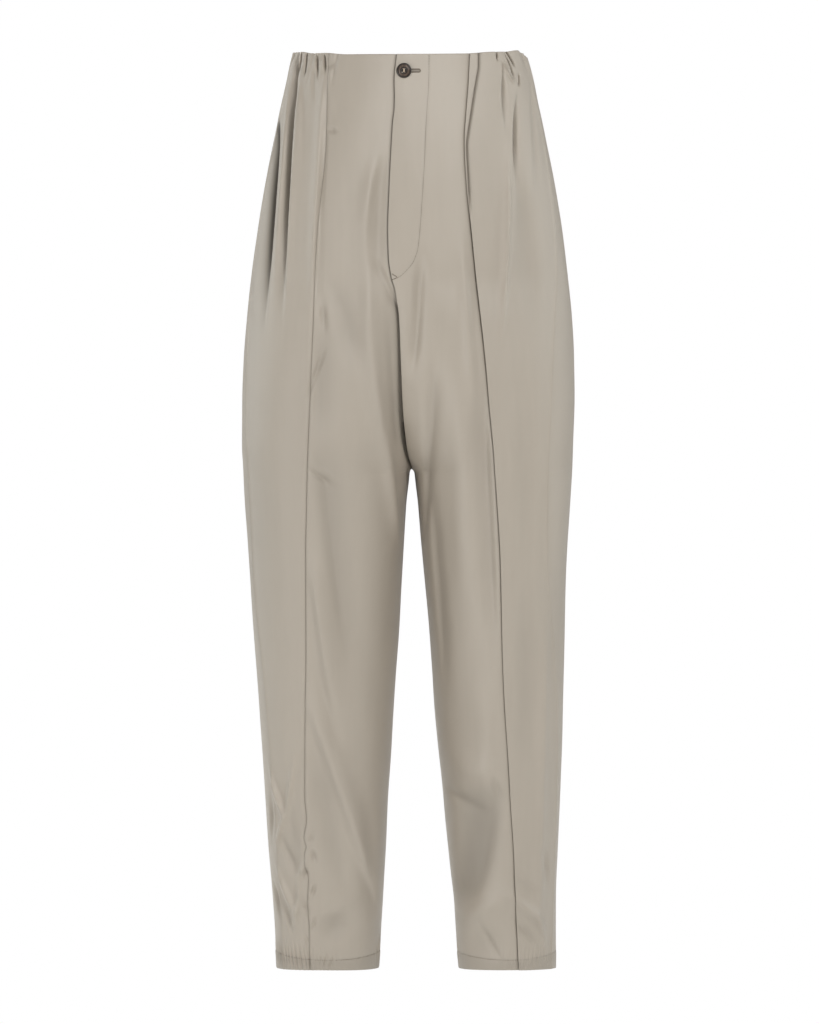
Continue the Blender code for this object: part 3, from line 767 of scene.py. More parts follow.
def gathers(leg, depth, share, rate):
    """The folds that the elastic draws in behind, and the casing's fine uneven puckers."""
    height = np.zeros(np.broadcast(depth, share).shape)
    for middle, lift, reach in zip(*(BACK_GATHERS[name] for name in ("share", "lift", "reach"))):
        fade = ease((1.0 - depth / reach) / GATHER_FADE)
        height += lift * fade * bell((share - middle) * rate, GATHER_WIDTH)
    random = np.random.default_rng(PUCKER_SEED[leg])
    first, last = PUCKERED[leg]
    places = np.arange(first, last, PUCKER_STEP)
    places = places + random.uniform(-0.35, 0.35, len(places)) * PUCKER_STEP
    lifts = random.uniform(*PUCKER_LIFTS, len(places))
    reaches = random.uniform(*PUCKER_REACH, len(places))
    for middle, lift, reach in zip(places, lifts, reaches):
        height += lift * ease(1.0 - depth / reach) * bell((share - middle) * rate, PUCKER_WIDTH)
    return height


def slack(points):
    """Soft unevenness: for each row of SLACK, waves of that size in several directions added up."""
    random = np.random.default_rng(SLACK_SEED)
    height = np.zeros(points.shape[:-1])
    for across, down, deep, size in zip(*(SLACK[name] for name in ("across", "down", "deep", "height"))):
        turn = random.uniform(-1.0, 1.0, (SLACK_WAVES, 3)) * 2.0 * math.pi / np.array([across, deep, down])
        phase = random.uniform(0.0, 2.0 * math.pi, SLACK_WAVES)
        waves = np.sin(points @ turn.T + phase)
        height += size * waves.sum(axis=-1) / math.sqrt(SLACK_WAVES)
    return height


def hem_row_depth(share):
    """The depth of the hem's stitches: level all round, so further up from the edge at the sides."""
    return LENGTH - HEM_ROW - HEM_ROW_RISE * np.cos(math.pi * share) ** 2


def hem(leg, depth, share):
    """The turned-up hem: a little thicker below its stitches, drawn in at them, and puckered."""
    below = depth - hem_row_depth(share)
    turns = 2.0 * math.pi * HEM_PUCKERS * share / 2.0
    uneven = 0.4 + 0.4 * np.sin(3.0 * math.pi * share + 0.7) * np.sin(7.0 * math.pi * share)
    uneven = uneven + 0.5 * bell(share - 0.76, 0.1)
    wave = np.sin(turns + 1.8 * np.sin(23.0 * share) + below / 7.0) * uneven
    pucker = HEM_PUCKER_LIFT[leg] * wave * bell(below, HEM_PUCKER_REACH)
    return HEM_BULK * ease(below / 2.0 + 0.5) - FURROW * bell(below, FURROW_WIDTH) + pucker


def painted_hem_shade(depth, share):
    """How much painted shade the hem has: at its stitches, and a little all over the turned-up cloth."""
    below = depth - hem_row_depth(share)
    return 0.4 * np.exp(-np.abs(below) / 0.6) + 0.17 * ease(below / 3.0)


def edges(depth):
    """The waist's and the hem's edges rolled slightly in, so that they look turned and pressed."""
    roll = np.exp(-depth / EDGE_ROLL_REACH) + np.exp((depth - LENGTH) / EDGE_ROLL_REACH)
    return -EDGE_ROLL * roll


def seam_edge(distance):
    """A seam's side: sunk at the seam, with the pressed allowances' slight bulk beside it."""
    sunk = SEAM_SINK * np.exp(-np.abs(distance) / SEAM_WIDTH)
    return SEAM_BULK * bell(np.abs(distance) - SEAM_BULK_AT, SEAM_BULK_WIDTH) - sunk


def panel_lines(leg, depth):
    """The shares where the leg's seams lie: centre front, panel, side and centre back."""
    rows = LEGS[leg][1]
    panel_seam = smooth(rows, "panel_seam", depth)
    if leg == "right":
        panel_seam = panel_seam + smooth(SEAM_PULLS, "pull", depth)
    return (
        centre_share(leg, "front", depth),
        share_at(leg, depth, panel_seam),
        share_at(leg, depth, smooth(rows, "side_seam", depth)),
        centre_share(leg, "back", depth),
    )


def cloth_height(leg, depth, share, rate, points):
    """What lies on the plain form all over a leg, apart from its seams."""
    height = folds(leg, depth, share, rate) + dents(leg, depth, share, rate)
    return height + gathers(leg, depth, share, rate) + slack(points) + hem(leg, depth, share) + edges(depth)


def lap_strength(depth, beyond):
    """The lap over the fly, proud at its free edge and easing down into the panel."""
    return smooth(LAP_LIFT, "lift", depth) * ease(1.0 - beyond / LAP_REACH)


def tuck_height(depth, out, from_seam):
    """The left side panel's edge: a low strip at the seam, then the tuck's proud folded edge."""
    from_tuck = out - smooth(TUCK, "out", depth)
    meets = ease((depth - 150.0) / 45.0)
    step = np.where(meets > 0.99, 1.0, ease(from_tuck / TUCK_EDGE + 0.5))
    step = meets + (1.0 - meets) * step
    lower = 1.0 - 0.5 * ease((depth - 560.0) / 140.0)
    proud = TUCK_LIFT * lower * step * np.exp(-np.maximum(from_seam, 0.0) / TUCK_FADE)
    furrow = TUCK_FURROW * (1.0 - meets) * bell(from_tuck + 0.9, 0.9)
    return proud - furrow + STRIP_LIFT * (1.0 - meets) * (1.0 - step)


def row_depths():
    """Depths of the grid's rows: the steps of ROW_STEP and HEM_STEP added up, with one at the crotch."""
    fine = np.linspace(0.0, LENGTH, 20001)
    step = np.interp(fine, ROW_STEP["depth"], ROW_STEP["step"])
    step = np.minimum(step, np.interp(LENGTH - fine, HEM_STEP["rise"], HEM_STEP["step"]))
    count = np.concatenate([[0.0], np.cumsum(np.diff(fine) / step[1:])])
    depths = np.interp(np.linspace(0.0, count[-1], int(round(count[-1])) + 1), count, fine)
    depths[np.argmin(np.abs(depths - CROTCH))] = CROTCH
    return depths[:, None]


def across_places(kind):
    """Places across a panel from 0 to 1, closer together towards both of its edges."""
    even = np.linspace(0.0, 1.0, COLUMNS[kind] + 1)
    return even - END_CROWDING * np.sin(2.0 * math.pi * even) / (2.0 * math.pi)


def seam_curve_direction(leg, half, depth):
    """Outward direction of the centre seam within its own upright plane."""
    above, below = np.maximum(depth - NEAR_DEPTH, 0.0), np.minimum(depth + NEAR_DEPTH, CROTCH)
    run = form(leg, below, centre_share(leg, half, below))[0]
    run = run - form(leg, above, centre_share(leg, half, above))[0]
    facing = -1.0 if half == "front" else 1.0
    direction = np.stack([np.zeros(len(depth)), -facing * run[:, 2], facing * run[:, 1]], axis=-1)
    return direction / np.linalg.norm(direction, axis=-1, keepdims=True)


def keep_to_own_side(leg, half, points, depth):
    """Points above the crotch held just clear of the centre seam's plane."""
    sign = LEGS[leg][0]
    seam = sign * smooth(CENTRE, half + "_x", -points[..., 2])
    out = np.maximum(sign * points[..., 0], seam + SEAM_GAP / 2.0)
    points[..., 0] = np.where(depth <= CROTCH, sign * out, points[..., 0])
    return points


def wall_thickness(settings, depth, share):
    """The cloth's thickness, doubled where it is turned in at the waist and the hem."""
    below = depth - hem_row_depth(share)
    doubled = ease(below / 2.0 + 0.5) + ease(1.0 - depth / 6.0)
    return settings.cloth_thickness / MM * (1.0 + 0.5 * doubled)


class Cloth:
    """One panel's grid: outer and inner points in millimetres, and what its material reads."""

    def __init__(self, outer, inner, across, down, shade):
        self.outer, self.inner = outer, inner
        self.lay = np.stack([across * MM, down * MM, shade], axis=-1)

    def flat_size(self):
        """(width, length, area) of the cut, in metres, measured along and across the cloth."""
        width = np.linalg.norm(np.diff(self.outer, axis=1), axis=-1).sum(axis=1)
        length = np.linalg.norm(np.diff(self.outer, axis=0), axis=-1).sum(axis=0)
        rows = np.linalg.norm(np.diff(self.outer, axis=0), axis=-1).mean(axis=1)
        area = (0.5 * (width[1:] + width[:-1]) * rows).sum()
        return width.max() * MM, length.max() * MM, area * MM * MM


def painted_shading(height, *distances):
    """How much painted shade the cloth has in its hollows and along its seams, 0 to 1, from the distances to
    them.
    """
    total = HOLLOW_SHADE * np.clip(-height / HOLLOW_DEEP, 0.0, 1.0)
    for distance, reach, strength in distances:
        total = total + np.exp(-np.abs(distance) / reach) * strength
    return np.clip(total, 0.0, 1.0)


def panel(settings, leg, kind):
    """A Cloth for one of a leg's panels, spread between two of its seams.

    Each point is the plain form's, moved along the outward direction by the folds and the seams.
    """
    depth = row_depths()
    centre, seam, side, back = panel_lines(leg, depth)
    first, last, half = {
        "centre": (centre, seam, "front"),
        "side": (seam, side, "front"),
        "back": (side, back, "back"),
    }[kind]
    first = first + SEAM_GAP / 2.0 / girth_rate(leg, depth, first)
    last = last - SEAM_GAP / 2.0 / girth_rate(leg, depth, last)
    share = first + (last - first) * across_places(kind)
    points, direction = form(leg, depth, share)
    above = depth[:, 0] <= CROTCH
    if kind != "side":
        column = 0 if kind == "centre" else -1
        direction[above, column] = seam_curve_direction(leg, half, depth[above, 0])
    rate = girth_rate(leg, depth, share)
    leaning = lean(direction, share)
    height = cloth_height(leg, depth, share, rate, points)
    from_first, from_last = (share - first) * rate, (last - share) * rate
    wall = leaning * wall_thickness(settings, depth, share)[..., None]
    if kind == "side":
        beside = np.exp(-from_last / PROUD_WIDTH)
        raised = PROUD * beside
        wall = wall + direction * ((PROUD + SEAM_SINK) * beside)[..., None]
    else:
        raised = seam_edge(from_last)
    # Painted shade along the seams: for each, the distance to it, how far the shade reaches and how dark it is
    # at the line.
    shade = ((from_first, 0.7, 0.35), (from_last, 0.7, 0.35))
    if kind == "centre":
        below_fly = ease((depth - 262.0) / 30.0) * ease((500.0 - depth) / 60.0)
        raised = raised + ROLL_LIFT * below_fly * np.exp(-from_first / ROLL_WIDTH)
        out = LEGS[leg][0] * points[..., 0]
        from_lap = np.maximum(out + smooth(LAP_EDGE, "x", depth), 0.0)
        beside_lap = 0.8 * ease((LAP_EDGE["depth"][-1] - depth) / 30.0)
        raised = raised - LAP_FURROW * beside_lap * bell(from_lap, LAP_FURROW_WIDTH)
        # Painted shade where the right front rolls in to the centre seam, and painted shadow under the lap's
        # free edge.
        rolled, seam_shade = (from_first, 3.6, 0.7 * below_fly), (from_last, 0.7, 0.35)
        shade = (rolled, (from_lap, 0.9, 1.7 * beside_lap), seam_shade)
    elif kind == "side" and leg == "left":
        out = LEGS[leg][0] * points[..., 0]
        raised = raised + tuck_height(depth, out, from_first)
        from_tuck = out - smooth(TUCK, "out", depth)
        strip = 1.0 - ease((depth - 150.0) / 40.0)
        # Painted shade in the tuck's furrow, fading below the strip, and at the side seam.
        shade = ((from_tuck + 0.9, 1.0, 0.9 * strip), (from_last, 0.7, 0.1))
    elif kind == "back":
        # Painted shadow on the right back just beyond the side seam, strongest between these depths; the left
        # back's is faint.
        beside = ease((depth - 200.0) / 100.0) * ease((800.0 - depth) / 200.0)
        raised = raised - SEAM_SINK * np.exp(-from_first / PROUD_WIDTH)
        strip = (from_first, 4.0, 0.6 * beside + 0.2) if leg == "right" else (from_first, 1.0, 0.12)
        shade = (strip, (from_last, 0.7, 0.35))
    else:
        raised = raised + seam_edge(from_first)
        shade = ((from_first, 0.7, 0.35), (from_last, 0.7, 0.1))
    outer = points + leaning * height[..., None] + direction * raised[..., None]
    inner = outer - wall
    outer, inner = (keep_to_own_side(leg, half, side_, depth) for side_ in (outer, inner))
    # Painted shade in the hollows, along the lines, in the sharpest pleats and on the hem.
    dark = painted_shading(height, *shade) + painted_pleat_shade(leg, depth, share, rate) + painted_hem_shade(depth, share)
    return Cloth(outer, inner, from_first - from_last, depth + 0.0 * share, np.clip(dark, 0.0, 1.3))


def lap_place(depth, beyond):
    """(points, directions, heights, rate, shares) where the left front passes the centre seam.

    beyond is the share passed over from the centre seam: towards the left side if it is positive, and
    onto the right leg's front if it is negative.
    """
    depth, beyond = np.broadcast_arrays(np.asarray(depth, float), np.asarray(beyond, float))
    over = beyond < 0.0
    left_share = centre_share("left", "front", depth) + np.maximum(beyond, 0.0)
    right_share = centre_share("right", "front", depth) + np.maximum(-beyond, 0.0)
    on_left, on_right = form("left", depth, left_share), form("right", depth, right_share)
    points, direction = (np.where(over[..., None], r, l) for r, l in zip(on_right, on_left))
    rate = np.where(over, girth_rate("right", depth, right_share), girth_rate("left", depth, left_share))
    direction = lean(direction, left_share)
    height = cloth_height("left", depth, left_share, rate, points)
    return points, direction, height, rate, left_share


def lap_beyond(depth, x):
    """The share passed over from the centre seam at a distance towards +X."""
    left = share_at("left", depth, x) - centre_share("left", "front", depth)
    right = share_at("right", depth, -x) - centre_share("right", "front", depth)
    return np.where(x < smooth(CENTRE, "front_x", depth), -np.maximum(right, 0.0), np.maximum(left, 0.0))


def lap_edge(depth):
    """The share passed over at the left front's edge: the lap's free edge, then the centre seam."""
    x = np.minimum(smooth(LAP_EDGE, "x", depth), smooth(CENTRE, "front_x", depth))
    is_lap = depth < LAP_EDGE["depth"][-1]
    return np.where(is_lap, lap_beyond(depth, x), 0.0)


def fly_furrow(depth, x):
    """How far the fly's row of stitches draws the cloth in: a narrow valley along its line."""
    row = smooth(FLY_ROW, "x", depth)
    last = FLY_ROW["depth"][-1]
    slant = np.hypot(1.0, (smooth(FLY_ROW, "x", depth + 1.0) - smooth(FLY_ROW, "x", depth - 1.0)) / 2.0)
    inside = ease((last + 3.0 - depth) / 3.0)
    return -FURROW * inside * bell((x - row) / slant, FURROW_WIDTH)


def lap_surface(depth, beyond):
    """(points, outward directions, distance from the edge) on the finished left front."""
    points, direction, height, rate, _ = lap_place(depth, beyond)
    from_edge = (beyond - lap_edge(depth)) * rate
    height = height + lap_strength(depth, from_edge) + fly_furrow(depth, points[..., 0])
    return points + direction * height[..., None], direction, from_edge, height


def front_centre_left(settings):
    """The left front with its lap: from the fly's free edge, or the centre seam, to the panel seam."""
    depth = row_depths()
    _, seam, _, _ = panel_lines("left", depth)
    first = lap_edge(depth) + SEAM_GAP / 2.0 / girth_rate("left", depth, centre_share("left", "front", depth))
    last = seam - centre_share("left", "front", depth) + UNDERLAP / girth_rate("left", depth, seam)
    beyond = first + (last - first) * across_places("centre")
    _, _, _, rate, share = lap_place(depth, beyond)
    outer, direction, from_edge, height = lap_surface(depth, beyond)
    seam_curve = (depth[:, 0] <= CROTCH) & (depth[:, 0] >= LAP_EDGE["depth"][-1])
    to_seam = (seam - share) * rate
    sunk = -0.9 * np.exp(-np.maximum(to_seam, 0.0) / 1.6) - 0.5 * (to_seam < 0.0)
    outer = outer + direction * sunk[..., None]
    turned_direction = direction.copy()
    turned_direction[seam_curve, 0] = seam_curve_direction("left", "front", depth[seam_curve, 0])
    edge_wall = EDGE_WALL * ease((depth - 284.0) / 20.0) * np.exp(-from_edge / 2.0)
    inner = outer - turned_direction * (wall_thickness(settings, depth, share) + edge_wall)[..., None]
    below = (depth >= LAP_EDGE["depth"][-1]) & (depth <= CROTCH)
    outer, inner = (
        np.where(below[..., None], keep_to_own_side("left", "front", side.copy(), depth), side)
        for side in (outer, inner)
    )
    # Painted shade along the panel seam, the left front's free edge and the fly's row, then in the pleats and
    # on the hem.
    from_row = np.where(depth < FLY_ROW["depth"][-1], outer[..., 0] - smooth(FLY_ROW, "x", depth), 99.0)
    seam_shade = 0.7 - 0.25 * ease((depth - 220.0) / 150.0)
    shade = painted_shading(height, (to_seam, 1.1, seam_shade), (from_edge, 0.5, 0.25), (from_row, 0.7, 0.2))
    # Painted shade in the buttonhole's slit.
    slit = ease((BUTTONHOLE[1] + 0.5 - outer[..., 0]) / 1.0) * ease(BUTTONHOLE_HALF + 0.5 - np.abs(depth - BUTTON_DEPTH))
    shade = shade + painted_pleat_shade("left", depth, share, rate) + painted_hem_shade(depth, share)
    shade = shade + BUTTONHOLE_SHADE * slit * ease(outer[..., 0] - BUTTONHOLE[0])
    return Cloth(outer, inner, from_edge, depth + 0.0 * share, shade)


def add_object(name, points, faces, material):
    """An object from points in metres and lists of faces, smooth but for its sharp turned edges."""
    mesh = bpy.data.meshes.new(name)
    mesh.from_pydata(points, [], faces)
    mesh.materials.append(material)
    mesh.shade_smooth()
    mesh.set_sharp_from_angle(angle=math.radians(62.0))
    made = bpy.data.objects.new(name, mesh)
    bpy.context.scene.collection.objects.link(made)
    return made


def add_cloth(name, cloth, mirrored, material):
    """A closed shell from a Cloth's two grids, joined by a band round their edge.

    Its "lay" attribute holds the place across and down the cloth in metres, and the painted shade of its seams,
    pleats and hollows.
    """
    rows, columns = cloth.outer.shape[:2]
    index = np.arange(rows * columns).reshape(rows, columns)
    sheet = np.stack([index[:-1, :-1], index[:-1, 1:], index[1:, 1:], index[1:, :-1]], -1).reshape(-1, 4)
    edge = np.concatenate([index[0, :-1], index[:-1, -1], index[-1, :0:-1], index[:0:-1, 0]])
    after, under = np.roll(edge, -1), rows * columns
    band = np.stack([after, edge, edge + under, after + under], -1)
    faces = np.concatenate([sheet, sheet[:, ::-1] + under, band])
    if mirrored:
        faces = faces[:, ::-1]
    points = np.concatenate([cloth.outer.reshape(-1, 3), cloth.inner.reshape(-1, 3)]) * MM
    made = add_object(name, points.tolist(), faces.tolist(), material)
    lay = made.data.attributes.new("lay", "FLOAT_VECTOR", "POINT")
    within = cloth.lay * np.array([1.0, 1.0, INSIDE_SHADE])
    both = np.stack([cloth.lay, within]).astype(np.float32)
    lay.data.foreach_set("vector", both.ravel())
    return made


def stitches(path, normal, length, gap, radius, sink=0.12, rings=6, sides=6):
    """(points, faces) of a row of stitches along a path: each is a rounded strand, its ends sunk.

    Stitch k covers the path from k * (length + gap) onwards. Round it, at share t of its length, lies
    a ring of radius * sqrt(sin(pi * t)), lifted by the same arc and lowered by sink at its ends.
    """
    step = np.linalg.norm(np.diff(path, axis=0), axis=-1)
    run = np.concatenate([[0.0], np.cumsum(step)])
    count = max(int((run[-1] + gap) // (length + gap)), 1)
    t = 0.5 - 0.5 * np.cos(np.linspace(0.08, 0.92, rings) * math.pi)
    at = np.arange(count)[:, None] * (length + gap) + t * length

    def read(values, places):
        return np.stack([np.interp(places, run, values[:, k]) for k in range(3)], axis=-1)

    centre, up = read(path, at), read(normal, at)
    ahead = read(path, at + 0.2) - read(path, at - 0.2)
    ahead /= np.linalg.norm(ahead, axis=-1, keepdims=True) + 1e-9
    up /= np.linalg.norm(up, axis=-1, keepdims=True) + 1e-9
    aside = np.cross(up, ahead)
    arc = np.sqrt(np.sin(math.pi * t))[None, :, None, None]
    angle = np.arange(sides) * 2.0 * math.pi / sides
    ring = np.cos(angle)[None, None, :, None] * aside[:, :, None] * radius
    ring = ring + np.sin(angle)[None, None, :, None] * up[:, :, None] * radius
    lift = up[:, :, None] * (radius * 0.8 - sink * (1.0 - arc) * 4.0)
    points = (centre[:, :, None] + ring * arc + lift).reshape(-1, 3)
    index = np.arange(count * rings * sides).reshape(count, rings, sides)
    after = np.roll(index, -1, axis=2)
    tube = np.stack([index[:, :-1], after[:, :-1], after[:, 1:], index[:, 1:]], -1).reshape(-1, 4)
    ends = [*index[:, 0, ::-1].tolist(), *index[:, -1].tolist()]
    return points, [*tube.tolist(), *ends]


def add_sewing(name, rows, material):
    """One object of several rows of stitches, each a (points, faces) pair."""
    points, faces, count = [], [], 0
    for row_points, row_faces in rows:
        points.append(row_points)
        faces += [[corner + count for corner in face] for face in row_faces]
        count += len(row_points)
    return add_object(name, (np.concatenate(points) * MM).tolist(), faces, material)


def fly_path(x, depth):
    """(points, outward directions) on the left front's cloth, at places towards +X and down."""
    x, depth = np.asarray(x, float), np.asarray(depth, float)
    points, direction, _, _ = lap_surface(depth, lap_beyond(depth, x))
    return points, direction


def fly_rows(settings):
    """The fly's rounded row, from the waist down to its tack, and the tack's two crossed bars."""
    length, radius = settings.stitch_length / MM, settings.thread_radius / MM
    along = np.linspace(0.0, 1.0, 400)
    depth = FLY_ROW["depth"][0] + 1.5 + (FLY_ROW["depth"][-1] - 1.5) * (1.0 - (1.0 - along) ** 2)
    rows = [stitches(*fly_path(smooth(FLY_ROW, "x", depth), depth), length, STITCH_GAP, radius)]
    for x0, depth0, x1, depth1 in TACK:
        places = np.linspace(0.0, 1.0, 40)
        path = fly_path(x0 + (x1 - x0) * places, depth0 + (depth1 - depth0) * places)
        rows.append(stitches(*path, 1.6, 0.15, radius * 1.9))
    return rows


def buttonhole_rows(settings):
    """The buttonhole's close cross stitches, all along a long loop round its slit."""
    radius = settings.thread_radius / MM
    half = BUTTONHOLE_HALF
    straight = np.arange(BUTTONHOLE[0] + 6.0, BUTTONHOLE[1] - half, 0.42)
    turn = np.linspace(-math.pi / 2.0, math.pi / 2.0, 13)
    x = np.concatenate([straight, BUTTONHOLE[1] - half + half * np.cos(turn), straight[::-1]])
    down = np.concatenate([0.0 * straight - half, half * np.sin(turn), 0.0 * straight + half])
    out_x = np.concatenate([0.0 * straight, np.cos(turn), 0.0 * straight])
    out_down = np.concatenate([0.0 * straight - 1.0, np.sin(turn), 0.0 * straight + 1.0])
    rows = []
    for px, pd, ox, od in zip(x, down, out_x, out_down):
        across = np.linspace(-0.9, 0.8, 5)
        path = fly_path(px + ox * across, BUTTON_DEPTH + pd + od * across)
        rows.append(stitches(*path, 1.65, 1.0, radius * 1.15, rings=4, sides=5))
    return rows


def hem_rows(settings, leg):
    """The hem's row of stitches, once round the leg."""
    share = np.linspace(0.012, 1.988, 900)
    depth = hem_row_depth(share)
    points, direction = form(leg, depth, share)
    direction = lean(direction, share)
    rate = girth_rate(leg, depth, share)
    height = cloth_height(leg, depth, share, rate, points)
    path = points + direction * height[:, None]
    length, radius = settings.stitch_length / MM, settings.thread_radius / MM
    return [stitches(path, direction, length, STITCH_GAP, radius)]


def button_frame():
    """The button's middle, in millimetres, and the turn from its own axes to its place on the fly."""
    points, direction = fly_path(np.array([BUTTON_X]), np.array([BUTTON_DEPTH]))
    turn = Vector(direction[0].tolist()).to_track_quat("Z", "Y").to_matrix()
    return points[0] + direction[0] * BUTTON_SEAT, np.array(turn)


def button_form():
    """(points, faces, lightness) of the turned button with its four drilled holes, on its own axes.

    The outline's corners are rounded by averaging neighbours along it. A hole lowers the sunk middle
    by HOLE_DEPTH inside its radius, with a narrow soft rim. The lightness is a bell over the radius,
    1 on the ring between the rim and the sunk middle; where it is low, the horn has painted shade.
    """
    outline = np.array(BUTTON_PROFILE, float)
    run = np.concatenate([[0.0], np.cumsum(np.linalg.norm(np.diff(outline, axis=0), axis=-1))])
    places = np.linspace(0.0, run[-1], BUTTON_RINGS)
    fine = np.stack([np.interp(places, run, outline[:, k]) for k in (0, 1)], axis=-1)
    for _ in range(3):
        fine[1:-1] = (fine[:-2] + fine[1:-1] + fine[2:]) / 3.0
    angle = np.arange(BUTTON_SIDES) * 2.0 * math.pi / BUTTON_SIDES
    x = fine[1:-1, :1] * np.cos(angle)
    y = fine[1:-1, :1] * np.sin(angle)
    z = fine[1:-1, 1:] + 0.0 * x
    nearest = np.hypot(np.abs(x) - HOLE_SPACING / 2.0, np.abs(y) - HOLE_SPACING / 2.0)
    is_front = (np.arange(len(x)) > len(x) // 2)[:, None]
    z = z - np.where(is_front, HOLE_DEPTH * (1.0 - ease((nearest - HOLE_RADIUS + 0.12) / 0.24)), 0.0)
    poles = [[0.0, 0.0, fine[0, 1]], [0.0, 0.0, fine[-1, 1]]]
    points = np.concatenate([np.stack([x, y, z], -1).reshape(-1, 3), poles])
    index = np.arange(x.size).reshape(x.shape)
    after = np.roll(index, -1, axis=1)
    side = np.stack([index[:-1], after[:-1], after[1:], index[1:]], -1).reshape(-1, 4).tolist()
    bottom, top = x.size, x.size + 1
    caps = [[bottom, b, a] for a, b in zip(index[0].tolist(), after[0].tolist())]
    caps += [[top, a, b] for a, b in zip(index[-1].tolist(), after[-1].tolist())]
    light = bell(np.hypot(points[:, 0], points[:, 1]) - BUTTON_RING[0], BUTTON_RING[1])
    return points, side + caps, light


def button_thread(settings):
    """The threads through the button: strands from hole to hole, drawn together in the middle."""
    radius = settings.thread_radius / MM
    rows = []
    rise = np.linspace(-1.0, 1.0, 31)
    for side in (-1.0, 1.0):
        for strand in (0.14, 0.42):
            x = side * (strand + (HOLE_SPACING / 2.0 - strand) * rise**8)
            z = 1.0 + 1.0 * (1.0 - rise**8)
            path = np.stack([x, rise * (HOLE_SPACING / 2.0 + 0.3), z], axis=-1)
            span = np.linalg.norm(np.diff(path, axis=0), axis=-1).sum()
            up = np.tile([0.0, 0.0, 1.0], (len(rise), 1))
            rows.append(stitches(path, up, span, 1.0, radius * 1.3, rings=24))
    return rows


class Socket:
    """A shader value that can stand in ordinary expressions, which add its nodes to the tree."""

    def __init__(self, tree, link):
        self.tree, self.link = tree, link

    def math(self, operation, *others):
        values = dict(enumerate((self, *others)))
        return self.tree.node("ShaderNodeMath", {"operation": operation}, values).out("Value")

    def __add__(self, other):
        return self.math("ADD", other)

    def __radd__(self, other):
        return self.math("ADD", other)

    def __mul__(self, other):
        return self.math("MULTIPLY", other)

    def __rmul__(self, other):
        return self.math("MULTIPLY", other)

    def __sub__(self, other):
        return self.math("SUBTRACT", other)

    def __rsub__(self, other):
        return self.tree.node(
            "ShaderNodeMath", {"operation": "SUBTRACT"}, {0: other, 1: self}
        ).out("Value")

    def sine(self):
        return self.math("SINE")

    def power(self, other):
        return self.math("POWER", other)

    def clamped(self):
        return self.math("MINIMUM", 1.0).math("MAXIMUM", 0.0)


class Node:
    """One node of a tree."""

    def __init__(self, tree, node):
        self.tree, self.node = tree, node

    def out(self, name):
        return Socket(self.tree, self.node.outputs[name])


class Finish:
    """A material's node tree, with one method that makes any node."""

    def __init__(self, name):
        self.material = bpy.data.materials.new(name)
        self.material.use_nodes = True
        self.nodes = self.material.node_tree.nodes
        self.links = self.material.node_tree.links
        self.shader = Node(self, self.nodes["Principled BSDF"])

    def node(self, kind, settings=None, inputs=None):
        """A node of this type: its settings first, then the values or links of its sockets."""
        made = self.nodes.new(kind)
        for name, value in (settings or {}).items():
            if name == "stops":
                self.set_stops(made.color_ramp, value)
            else:
                setattr(made, name, value)
        self.feed(made, inputs or {})
        return Node(self, made)

    def feed(self, node, inputs):
        for name, value in inputs.items():
            if isinstance(value, Socket):
                self.links.new(value.link, node.inputs[name])
            else:
                node.inputs[name].default_value = value

    def set_stops(self, ramp, stops):
        for stop, (place, colour) in zip(ramp.elements, stops):
            stop.position, stop.color = place, colour
        for place, colour in stops[len(ramp.elements) :]:
            ramp.elements.new(place).color = colour

    def mix(self, factor, first, second):
        """Between two colours by a factor."""
        made = self.nodes.new("ShaderNodeMix")
        made.data_type = "RGBA"
        for place, value in ((0, factor), (6, first), (7, second)):
            self.feed_place(made, place, value)
        return Socket(self, made.outputs[2])

    def feed_place(self, node, place, value):
        if isinstance(value, Socket):
            self.links.new(value.link, node.inputs[place])
        else:
            node.inputs[place].default_value = value

    def attribute(self, name):
        """The x, y and z of an attribute of the mesh."""
        read = self.node("ShaderNodeAttribute", {"attribute_name": name})
        parts = self.node("ShaderNodeSeparateXYZ", None, {"Vector": read.out("Vector")})
        return tuple(parts.out(axis) for axis in "XYZ")

    def noise(self, size, detail, vector, stretch=(1.0, 1.0, 1.0)):
        """Noise with features of about this size in metres, stretched along the axes."""
        scaled = self.node(
            "ShaderNodeVectorMath",
            {"operation": "MULTIPLY"},
            {0: vector, 1: tuple(1.0 / (size * s) for s in stretch)},
        )
        made = self.node(
            "ShaderNodeTexNoise", {}, {"Vector": scaled.out("Vector"), "Scale": 1.0, "Detail": detail}
        )
        return made.out("Fac")

    def place(self):
        return self.node("ShaderNodeTexCoord").out("Object")


def tint(colour, factor):
    return tuple(min(part * factor, 1.0) for part in colour[:3]) + (1.0,)


